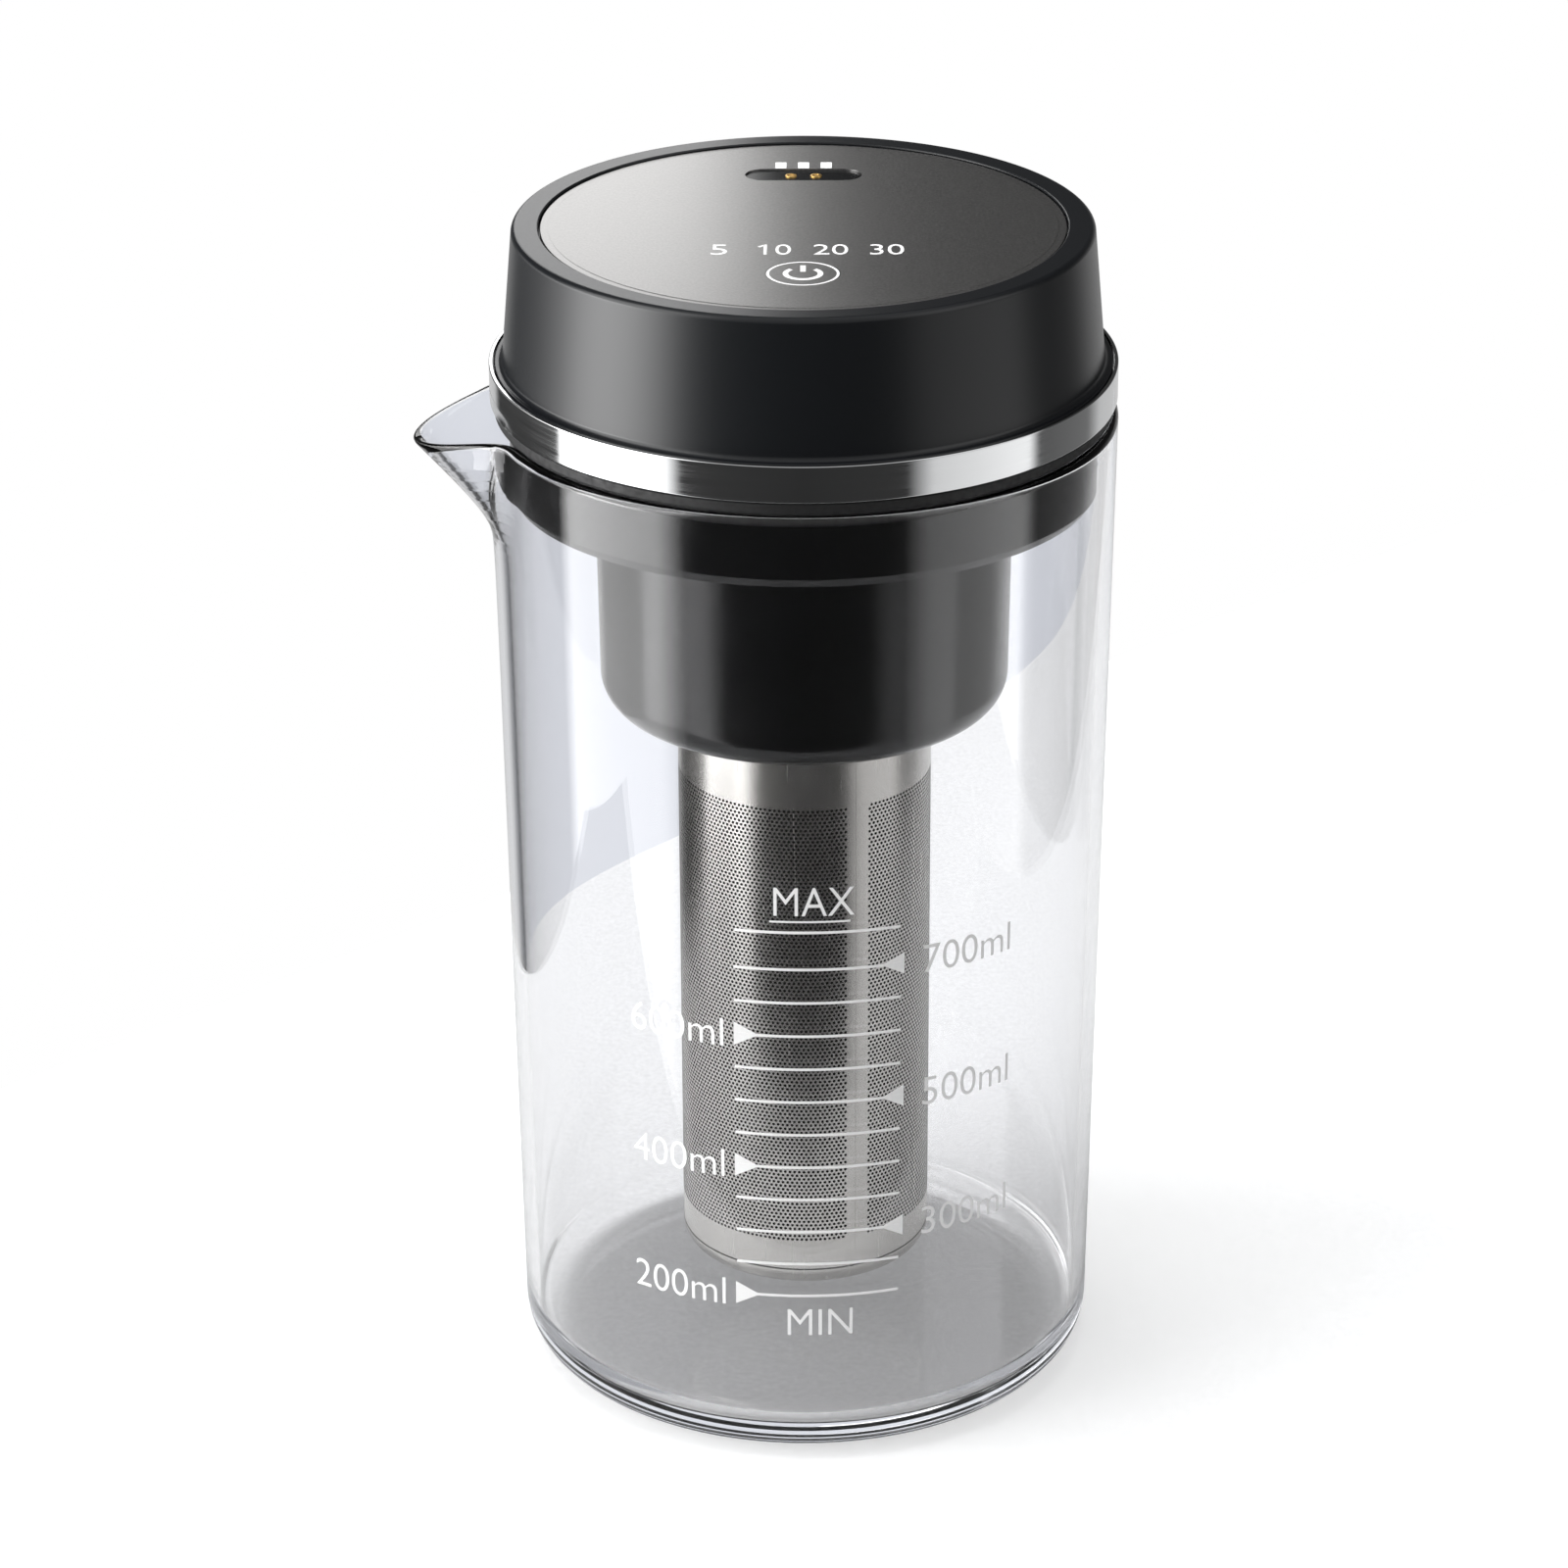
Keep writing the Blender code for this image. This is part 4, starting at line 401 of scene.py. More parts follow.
def rounded_side(outer, low, high, edge, steps):
    """The outer side of a turned profile, with a rounding at its foot and at its top."""
    return (arc((outer - edge, low + edge), edge, -QUARTER_TURN, 0, steps)
            + arc((outer - edge, high - edge), edge, 0, QUARTER_TURN, steps))


def braced(profile):
    """Adds a point close to both ends of each long run, so that it shades flat."""
    result = [profile[0]]
    for start, end in zip(profile, profile[1:]):
        run = math.dist(start, end)
        if run > BRACE_RUN:
            share = BRACE_STEP / run
            for s in (share, 1 - share):
                result.append((start[0] + (end[0] - start[0]) * s,
                               start[1] + (end[1] - start[1]) * s))
        result.append(end)
    return result


def lathe(profile, steps=ROUND_STEPS):
    """Turns a profile of (r, z) points about Z. One that ends off the axis is a ring."""
    profile = braced(profile)
    bm = bmesh.new()
    verts = [bm.verts.new((r, 0, z)) for r, z in profile]
    edges = [bm.edges.new(pair) for pair in zip(verts, verts[1:])]
    if profile[0][0] > 0 or profile[-1][0] > 0:
        edges.append(bm.edges.new((verts[-1], verts[0])))
    bmesh.ops.spin(bm, geom=verts + edges, cent=(0, 0, 0), axis=(0, 0, 1), angle=FULL_TURN,
                   steps=steps, use_merge=True)
    bmesh.ops.remove_doubles(bm, verts=bm.verts, dist=MERGE_GAP)
    bmesh.ops.recalc_face_normals(bm, faces=bm.faces)
    return bm


def moved(bm, x, y, z=0.0):
    """The same mesh in another place."""
    bmesh.ops.translate(bm, verts=bm.verts, vec=(x, y, z))
    return bm


def prism(outline, low, high):
    """Extrudes a flat outline of (x, y) points from one height to another."""
    bm = bmesh.new()
    face = bm.faces.new([bm.verts.new((x, y, low)) for x, y in outline])
    raised = bmesh.ops.extrude_face_region(bm, geom=[face])["geom"]
    bmesh.ops.translate(bm, verts=[v for v in raised if isinstance(v, bmesh.types.BMVert)],
                        vec=(0, 0, high - low))
    bmesh.ops.recalc_face_normals(bm, faces=bm.faces)
    return bm


def pill_outline(long_side, short_side, centre_y, steps=24):
    """A slot with round ends, its long side along X."""
    radius = short_side / 2
    reach = long_side / 2 - radius
    right = arc((reach, centre_y), radius, -QUARTER_TURN, QUARTER_TURN, steps)
    left = arc((-reach, centre_y), radius, QUARTER_TURN, QUARTER_TURN + math.pi, steps)
    return right + left


def rectangle(width, depth, x, y):
    """The four corners of a rectangle about a centre."""
    return [(x - width / 2, y - depth / 2), (x + width / 2, y - depth / 2),
            (x + width / 2, y + depth / 2), (x - width / 2, y + depth / 2)]


def sweep(sections):
    """A closed mesh through sections of four points each."""
    bm = bmesh.new()
    slices = [[bm.verts.new(point) for point in section] for section in sections]
    for first, second in zip(slices, slices[1:]):
        for j in range(4):
            k = (j + 1) % 4
            bm.faces.new((first[j], first[k], second[k], second[j]))
    bm.faces.new(slices[0])
    bm.faces.new(slices[-1])
    bmesh.ops.recalc_face_normals(bm, faces=bm.faces)
    return bm


def band_of_arc(radius, width, start, end, low, high, steps=48):
    """A flat curved strip about Z, such as the arc of the power sign."""
    near, far = radius - width / 2, radius + width / 2
    angles = [start + (end - start) * i / steps for i in range(steps + 1)]
    return sweep([[(r * math.cos(a), r * math.sin(a), z)
                   for r, z in ((near, low), (far, low), (far, high), (near, high))]
                  for a in angles])


def new_object(name, data):
    """An object with this data, linked to the scene."""
    obj = bpy.data.objects.new(name, data)
    bpy.context.scene.collection.objects.link(obj)
    return obj


def mesh_object(name, bm):
    """Turns a working mesh into an object."""
    mesh = bpy.data.meshes.new(name)
    bm.to_mesh(mesh)
    bm.free()
    return new_object(name, mesh)


def evaluated_mesh(obj):
    """A new mesh of what an object's text or modifiers give."""
    bpy.context.view_layer.update()
    depsgraph = bpy.context.evaluated_depsgraph_get()
    return bpy.data.meshes.new_from_object(obj.evaluated_get(depsgraph))


def settle(obj):
    """Turns an object's modifiers into its plain mesh."""
    mesh = evaluated_mesh(obj)
    obj.modifiers.clear()
    obj.data = mesh
    return obj


def cut_away(obj, bm):
    """Cuts a closed shape out of a piece."""
    tool = mesh_object(obj.name + "_cut", bm)
    modifier = obj.modifiers.new("cut", "BOOLEAN")
    modifier.operation = "DIFFERENCE"
    modifier.solver = "EXACT"
    modifier.object = tool
    settle(obj)
    bpy.data.objects.remove(tool, do_unlink=True)


def dress(obj, body, material, replaces=()):
    """Shades a finished piece, gives it its material and hands it to its body."""
    obj.data.materials.clear()
    obj.data.materials.append(material)
    obj.data.shade_smooth()
    obj.data.set_sharp_from_angle(angle=SMOOTH_ANGLE)
    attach(obj, body)
    if replaces:
        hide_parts(*replaces)
    return obj


def add_piece(name, bm, body, slot, replaces=()):
    """Makes a finished piece whose finish is that of a record slot."""
    return dress(mesh_object(name, bm), body, finish_named(slot), replaces)


def lettering(text, width, height, boldness=-0.006):
    """A number or word as a thin closed mesh, centred and brought to a size."""
    data = bpy.data.curves.new("lettering", "FONT")
    data.body = text
    data.extrude = 0.01         # any depth will do, because the mesh is brought to size below
    data.offset = boldness
    data.resolution_u = 6
    obj = new_object("lettering", data)
    mesh = evaluated_mesh(obj)
    bm = bmesh.new()
    bm.from_mesh(mesh)
    bpy.data.objects.remove(obj)
    bpy.data.curves.remove(data)
    bpy.data.meshes.remove(mesh)
    low = Vector([min(v.co[i] for v in bm.verts) for i in range(3)])
    high = Vector([max(v.co[i] for v in bm.verts) for i in range(3)])
    scale = Vector((width / (high.x - low.x), height / (high.y - low.y),
                    2 * PRINT_HALF / (high.z - low.z)))
    for vert in bm.verts:
        vert.co = (vert.co - (low + high) / 2) * scale
    bmesh.ops.remove_doubles(bm, verts=bm.verts, dist=MERGE_GAP / 10)
    bmesh.ops.recalc_face_normals(bm, faces=bm.faces)
    return bm


def joined(parts):
    """Several meshes as one."""
    bm = bmesh.new()
    for part in parts:
        mesh = bpy.data.meshes.new("part")
        part.to_mesh(mesh)
        part.free()
        bm.from_mesh(mesh)
        bpy.data.meshes.remove(mesh)
    return bm


# Geometry node trees

def new_shape_tree(name, sockets):
    """An empty geometry tree with named number inputs; returns it with its ends."""
    tree = bpy.data.node_groups.new(name, "GeometryNodeTree")
    tree.interface.new_socket("Geometry", in_out="INPUT", socket_type="NodeSocketGeometry")
    for socket, kind in sockets.items():
        tree.interface.new_socket(socket, in_out="INPUT", socket_type=kind)
    tree.interface.new_socket("Geometry", in_out="OUTPUT", socket_type="NodeSocketGeometry")
    return tree, tree.nodes.new("NodeGroupInput"), tree.nodes.new("NodeGroupOutput")


def close_shape_tree(tree, instances, material_socket, output):
    """Realize Instances and Set Material, which every tree ends in."""
    real = add_node(tree, "GeometryNodeRealizeInstances", links={"Geometry": instances})
    coloured = add_node(tree, "GeometryNodeSetMaterial",
                        links={"Geometry": real.outputs["Geometry"], "Material": material_socket})
    tree.links.new(coloured.outputs["Geometry"], output.inputs["Geometry"])


def grow(obj, tree, inputs):
    """Runs a tree on an object and keeps the result as its plain mesh."""
    modifier = obj.modifiers.new(tree.name, "NODES")
    modifier.node_group = tree
    for item in tree.interface.items_tree:
        if item.in_out == "INPUT" and item.name in inputs:
            modifier[item.identifier] = inputs[item.name]
    return settle(obj)


def perforation_tree():
    """Rings of small discs stacked up a tube, every other ring turned by half a step."""
    tree, start, end = new_shape_tree("perforations", {
        "Radius": "NodeSocketFloat", "Low": "NodeSocketFloat", "Row Pitch": "NodeSocketFloat",
        "Holes": "NodeSocketInt", "Rows": "NodeSocketInt", "Half Step": "NodeSocketFloat",
        "Hole Radius": "NodeSocketFloat", "Weld Direction": "NodeSocketVector",
        "Weld Cosine": "NodeSocketFloat", "Material": "NodeSocketMaterial"})
    value = start.outputs
    ring = add_node(tree, "GeometryNodeMeshCircle",
                    links={"Vertices": value["Holes"], "Radius": value["Radius"]})
    place = add_node(tree, "GeometryNodeInputPosition").outputs["Position"]
    outward = add_node(tree, "ShaderNodeVectorMath", links={0: place},
                       operation="NORMALIZE").outputs["Vector"]
    nearness = add_node(tree, "ShaderNodeVectorMath", operation="DOT_PRODUCT",
                        links={0: outward, 1: value["Weld Direction"]}).outputs["Value"]
    off_weld = add_node(tree, "ShaderNodeMath", operation="LESS_THAN",
                        links={0: nearness, 1: value["Weld Cosine"]}).outputs["Value"]
    disc = add_node(tree, "GeometryNodeMeshCircle", {"Vertices": HOLE_SIDES},
                    {"Radius": value["Hole Radius"]}, fill_type="NGON")
    turn = add_node(tree, "FunctionNodeAlignRotationToVector", links={"Vector": outward}, axis="Z")
    holes = add_node(tree, "GeometryNodeInstanceOnPoints", links={
        "Points": ring.outputs["Mesh"], "Selection": off_weld,
        "Instance": disc.outputs["Mesh"], "Rotation": turn.outputs["Rotation"]})
    foot = add_node(tree, "ShaderNodeCombineXYZ", links={"Z": value["Low"]}).outputs["Vector"]
    rise = add_node(tree, "ShaderNodeCombineXYZ", links={"Z": value["Row Pitch"]})
    stack = add_node(tree, "GeometryNodeMeshLine", links={
        "Count": value["Rows"], "Start Location": foot, "Offset": rise.outputs["Vector"]})
    index = add_node(tree, "GeometryNodeInputIndex").outputs["Index"]
    odd = add_node(tree, "ShaderNodeMath", {1: 2.0}, {0: index}, operation="MODULO")
    lean = add_node(tree, "ShaderNodeMath", operation="MULTIPLY",
                    links={0: odd.outputs["Value"], 1: value["Half Step"]})
    stagger = add_node(tree, "ShaderNodeCombineXYZ", links={"Z": lean.outputs["Value"]})
    rows = add_node(tree, "GeometryNodeInstanceOnPoints", links={
        "Points": stack.outputs["Mesh"], "Instance": holes.outputs["Instances"],
        "Rotation": stagger.outputs["Vector"]})
    close_shape_tree(tree, rows.outputs["Instances"], value["Material"], end)
    return tree


def ladder_tree():
    """Copies of one printed line up the glass, which widens a little with height."""
    tree, start, end = new_shape_tree("ladder_of_lines", {
        "Count": "NodeSocketInt", "Pitch": "NodeSocketFloat", "Lowest": "NodeSocketFloat",
        "Highest": "NodeSocketFloat", "Widening": "NodeSocketFloat",
        "Material": "NodeSocketMaterial"})
    value = start.outputs
    step = add_node(tree, "ShaderNodeCombineXYZ", links={"Z": value["Pitch"]})
    line = add_node(tree, "GeometryNodeMeshLine",
                    links={"Count": value["Count"], "Offset": step.outputs["Vector"]})
    rungs = add_node(tree, "GeometryNodeInstanceOnPoints",
                     links={"Points": line.outputs["Mesh"], "Instance": value["Geometry"]})
    real = add_node(tree, "GeometryNodeRealizeInstances",
                    links={"Geometry": rungs.outputs["Instances"]})
    place = add_node(tree, "GeometryNodeInputPosition").outputs["Position"]
    height = add_node(tree, "ShaderNodeSeparateXYZ", links={"Vector": place}).outputs["Z"]
    share = add_node(tree, "ShaderNodeMapRange", {"To Min": 1.0}, {
        "Value": height, "From Min": value["Lowest"], "From Max": value["Highest"],
        "To Max": value["Widening"]}).outputs["Result"]
    wider = add_node(tree, "ShaderNodeCombineXYZ", {"Z": 1.0}, {"X": share, "Y": share})
    shifted = add_node(tree, "ShaderNodeVectorMath", operation="MULTIPLY",
                       links={0: place, 1: wider.outputs["Vector"]})
    placed = add_node(tree, "GeometryNodeSetPosition",
                      links={"Geometry": real.outputs["Geometry"],
                             "Position": shifted.outputs["Vector"]})
    close_shape_tree(tree, placed.outputs["Geometry"], value["Material"], end)
    return tree


# Glass jug

def jug_radius(jug, z):
    """Outer radius of the tapered glass at a height."""
    return jug.foot_radius + (jug.rim_radius - jug.foot_radius) * z / jug.height


def beak_lean(jug, z):
    """How the beak leans out with height: flat on the wall, then a straight slope."""
    rise = z - (jug.height - jug.spout_root)
    return (rise + math.hypot(rise, jug.spout_blend)) / 2


def beak_reach(jug, z):
    """How far the middle of the spout stands out from the wall at a height."""
    lowest = beak_lean(jug, jug.height - jug.spout_fade)
    tip = beak_lean(jug, jug.height - jug.spout_dip)
    return jug.spout_reach * (beak_lean(jug, z) - lowest) / (tip - lowest)


def draw_spout(jug, bm):
    """Crowds the columns towards -X, then draws the rim out and down into a beak."""
    fade_z = jug.height - jug.spout_fade
    for vert in bm.verts:
        radius = math.hypot(vert.co.x, vert.co.y)
        if radius < MERGE_GAP:
            continue
        side = math.atan2(-vert.co.y, -vert.co.x)
        side = math.copysign(math.pi * (abs(side) / math.pi) ** SPOUT_CROWDING, side)
        z = vert.co.z
        if z > fade_z:
            nearness = max(0, 1 - abs(side) / jug.spout_half_angle)
            dip = jug.spout_dip * math.sin(QUARTER_TURN * nearness) ** SPOUT_DIP_POWER
            z = fade_z + (z - fade_z) * (jug.spout_fade - dip) / jug.spout_fade
            height_share = min(1, (z - fade_z) / (jug.spout_fade - jug.spout_dip))
            width_share = SPOUT_ROOT_WIDTH + (1 - SPOUT_ROOT_WIDTH) * height_share
            nearness = max(0, 1 - abs(side) / (jug.spout_half_angle * width_share))
            radius += (beak_reach(jug, z)
                       * math.sin(QUARTER_TURN * nearness) ** SPOUT_SIDE_POWER)
        vert.co = (-radius * math.cos(side), -radius * math.sin(side), z)


def jug_profile(jug):
    """Outer wall from the foot up, over the fire-polished rim and down inside."""
    foot = jug.foot_rounding
    inner = jug.inner_rounding
    floor_z = jug.floor + inner
    foot_centre = (jug_radius(jug, foot) - foot, foot)
    inner_centre = (jug_radius(jug, floor_z) - jug.wall - inner, floor_z)
    fade_z = jug.height - jug.spout_fade
    lip = jug.wall / 2
    plain_steps, spout_steps = 8, 24
    levels = [foot + (fade_z - foot) * i / plain_steps for i in range(1, plain_steps)]
    levels += [fade_z + (jug.height - lip - fade_z) * i / spout_steps for i in range(spout_steps)]
    points = [(0, 0)]
    points += arc(foot_centre, foot, -QUARTER_TURN, 0, 16)
    points += [(jug_radius(jug, z), z) for z in levels]
    points += arc((jug_radius(jug, jug.height) - lip, jug.height - lip), lip, 0, math.pi, 12)
    points += [(jug_radius(jug, z) - jug.wall, z) for z in reversed(levels) if z > floor_z]
    points += arc(inner_centre, inner, 0, -QUARTER_TURN, 12)
    points.append((0, jug.floor))
    return points


def on_glass(jug, bm, azimuth, z):
    """Lays a flat mesh on the outer side of the glass, centred on an azimuth and height."""
    for vert in bm.verts:
        height = z + vert.co.y
        radius = jug_radius(jug, height) + PRINT_LIFT + vert.co.z
        angle = azimuth + vert.co.x / jug_radius(jug, z)
        vert.co = (radius * math.sin(angle), -radius * math.cos(angle), height)
    return bm


def flat_strip(width, height, steps=24):
    """A thin printed line as a closed strip, fine enough to bend round the glass."""
    corners = rectangle(height, 2 * PRINT_HALF, 0, 0)
    return sweep([[(width * (i / steps - 0.5), y, z) for y, z in corners]
                  for i in range(steps + 1)])


def pointer(base_x, tip_x, half_height):
    """A small printed triangle that points along a line."""
    outline = [(base_x, -half_height), (tip_x, 0), (base_x, half_height)]
    return prism(outline, -PRINT_HALF, PRINT_HALF)


class MAKER_OT_jug(bpy.types.Operator):
    """Builds the glass jug with its drawn spout"""
    bl_idname = "coffee_maker.jug"
    bl_label = "Glass jug"

    def execute(self, context):
        jug = context.scene.maker_jug
        bm = lathe(jug_profile(jug), FINE_ROUND_STEPS)
        draw_spout(jug, bm)
        add_piece("jug_glass", bm, "jug", "clear_glass", ["glass_jug"])
        return {"FINISHED"}


class MAKER_OT_marks(bpy.types.Operator):
    """Prints the volume marks on the glass"""
    bl_idname = "coffee_maker.marks"
    bl_label = "Volume marks"

    # arc lengths on the glass, from the front
    left_end, right_end = -11.7 * MM, 16.2 * MM             # ends of the lines
    left_labels, right_labels = -22.4 * MM, 29.2 * MM       # middles of the numbers
    left_label_width, right_label_width = 17.2 * MM, 17.5 * MM
    first_volume, volume_step, line_volume = 200, 100, 50   # in ml
    last_volume = 700

    def execute(self, context):
        jug = context.scene.maker_jug
        marks = context.scene.maker_marks
        white = enamel_print("white_enamel_print", context.scene.maker_colours.print)
        self.add_lines(jug, marks, white)
        self.add_labels(jug, marks, white)
        return {"FINISHED"}

    def add_lines(self, jug, marks, white):
        middle = (self.left_end + self.right_end) / 2 / jug_radius(jug, marks.lowest)
        width = self.right_end - self.left_end
        bm = on_glass(jug, flat_strip(width, marks.line), middle, marks.lowest)
        lines = mesh_object("volume_lines", bm)
        highest = marks.lowest + marks.pitch * (marks.count - 1)
        grow(lines, ladder_tree(), {
            "Count": marks.count, "Pitch": marks.pitch, "Lowest": marks.lowest,
            "Highest": highest, "Material": white,
            "Widening": jug_radius(jug, highest) / jug_radius(jug, marks.lowest)})
        dress(lines, "jug", white)
        top = on_glass(jug, flat_strip(width, marks.line), middle, marks.top)
        dress(mesh_object("top_volume_line", top), "jug", white)

    def add_labels(self, jug, marks, white):
        """Numbers and pointers: even hundreds on the left, odd ones on the right."""
        parts = []
        for volume in range(self.first_volume, self.last_volume + 1, self.volume_step):
            z = marks.lowest + marks.pitch * (volume - self.first_volume) / self.line_volume
            if volume % (2 * self.volume_step) == 0:
                middle, width = self.left_labels, self.left_label_width
                point = pointer(-11.95 * MM, -7.75 * MM, 2.2 * MM)
            else:
                middle, width = self.right_labels, self.right_label_width
                point = pointer(17.0 * MM, 13.1 * MM, 2.0 * MM)
            text = lettering(f"{volume}ml", width, marks.label_height)
            parts.append(on_glass(jug, text, middle / jug_radius(jug, z), z))
            parts.append(on_glass(jug, point, 0, z))
        for text, width, height, x, z in (("MAX", 13.5, 5.2, 1.65, 108.6),
                                          ("MIN", 11.2, 5.1, 2.6, 27.95)):
            parts.append(on_glass(jug, lettering(text, width * MM, height * MM),
                                  x * MM / jug_radius(jug, z * MM), z * MM))
        line_z = 104.9 * MM
        underline = flat_strip(13.5 * MM, 0.35 * MM)
        parts.append(on_glass(jug, underline, 0.95 * MM / jug_radius(jug, line_z), line_z))
        dress(mesh_object("volume_labels", joined(parts)), "jug", white)


# Lid

class MAKER_OT_lid(bpy.types.Operator):
    """Builds the lid: housing, steel band, gasket, plug and motor cup"""
    bl_idname = "coffee_maker.lid"
    bl_label = "Lid"

    band_seat = 0.9 * MM        # how far the pieces inside the band lie from its outer side

    def execute(self, context):
        lid = context.scene.maker_lid
        self.add_housing(lid)
        self.add_band(lid)
        self.add_gasket(lid, context.scene.maker_jug)
        self.add_plug(lid)
        self.add_cup(lid)
        return {"FINISHED"}

    def add_housing(self, lid):
        """Slanting wall over a narrow ledge, with a rounded rim round the plate."""
        ledge = 185.8 * MM
        skirt = ledge - 3.8 * MM
        wall = 2 * MM
        fillet = 0.9 * MM
        edge, soft = 0.25 * MM, 1.0 * MM
        top = heights("top_housing")[1]
        deck = heights("face_plate")[0] - FIT_GAP
        outer = lid.band_radius - self.band_seat
        inner = lid.housing_foot - wall
        recess = lid.plate_radius + FIT_GAP
        profile = [(0, deck - wall), (lid.housing_top - wall, deck - wall), (inner, ledge),
                   (inner, skirt), (outer, skirt)]
        profile += arc((outer - edge, ledge - edge), edge, 0, QUARTER_TURN, 4)
        profile += arc((lid.housing_foot + fillet, ledge + fillet), fillet,
                       -QUARTER_TURN, -math.pi)
        profile += arc((lid.housing_top - soft, top - soft), soft, 0, QUARTER_TURN, 10)
        profile += arc((recess + edge, top - edge), edge, QUARTER_TURN, math.pi, 4)
        profile += [(recess, deck), (0, deck)]
        add_piece("lid_housing", lathe(profile, FINE_ROUND_STEPS), "lid", "satin_black_plastic",
                  ["top_housing"])

    def add_band(self, lid):
        """Thin steel hoop with slightly rounded edges."""
        low, high = heights("steel_band")
        wall = 0.6 * MM
        edge = 0.18 * MM
        outer = lid.band_radius
        inner = outer - wall
        profile = [(inner, low), (outer - edge, low)]
        profile += rounded_side(outer, low, high, edge, 5)
        profile.append((inner, high))
        add_piece("steel_trim_band", lathe(profile, FINE_ROUND_STEPS), "lid", "bright_steel",
                  ["steel_band"])

    def add_gasket(self, lid, jug):
        """Flat ring on the glass rim with a short skirt inside it."""
        low, high = heights("rim_gasket")
        seat = jug.height + FIT_GAP
        inner = lid.plug_radius + FIT_GAP
        skirt = jug.rim_radius - jug.wall - FIT_GAP
        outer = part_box("rim_gasket")[1].x
        edge = 0.5 * MM
        profile = [(inner, low), (skirt, low), (skirt, seat)]
        profile += rounded_side(outer, seat, high, edge, 6)
        profile.append((inner, high))
        add_piece("glass_rim_gasket", lathe(profile, FINE_ROUND_STEPS), "lid", "black_silicone",
                  ["rim_gasket"])

    def add_plug(self, lid):
        """Flange under the band and the polished plug inside the glass."""
        low = heights("lid_base")[0]
        band = heights("steel_band")[0]
        wall, floor = 2.2 * MM, 2 * MM
        bevel_width, bevel_height = 1.1 * MM, 1.65 * MM
        soft, soft_end = 0.3 * MM, -0.35    # rounding at the bevel's foot, and where it ends
        flange = lid.band_radius - self.band_seat
        outer = lid.plug_radius
        inner = outer - wall
        heel = outer - bevel_width
        profile = [(0, low), (heel, low)]
        profile += arc((heel, low + soft), soft, -QUARTER_TURN, soft_end, 4)
        profile += [(outer, low + bevel_height), (outer, band), (flange, band),
                    (flange, band + wall), (inner, band + wall), (inner, low + floor),
                    (0, low + floor)]
        add_piece("lid_plug", lathe(profile, FINE_ROUND_STEPS), "lid", "gloss_black_plastic",
                  ["lid_base"])

    def add_cup(self, lid):
        """Round-footed cup round the motor, open below for the filter."""
        low = heights("motor_cup")[0]
        top = heights("cup_seal")[0] - FIT_GAP
        draft = 0.4 * MM        # how much narrower the cup is at its foot
        soft = 6.0 * MM
        wall = 2.2 * MM
        well = 24.4 * MM
        roof = low + 9.7 * MM
        roof_top = roof + 2 * MM
        shaft_hole = 4.3 * MM
        mouth = 0.4 * MM
        centre = (lid.cup_radius - draft - soft, low + soft)
        profile = [(well, roof), (well, low + mouth)]
        profile += arc((well + mouth, low + mouth), mouth, math.pi, math.pi + QUARTER_TURN, 4)
        profile += arc(centre, soft, -QUARTER_TURN, 0, 20)
        profile += [(lid.cup_radius, top), (lid.cup_radius - wall, top)]
        profile += arc(centre, soft - wall, 0, -QUARTER_TURN, 8)
        profile += [(well + wall, low + wall), (well + wall, roof_top), (shaft_hole, roof_top),
                    (shaft_hole, roof)]
        add_piece("motor_cup_shell", lathe(profile, FINE_ROUND_STEPS), "lid",
                  "gloss_black_plastic", ["motor_cup"])


# Face plate with its print, key, port and windows

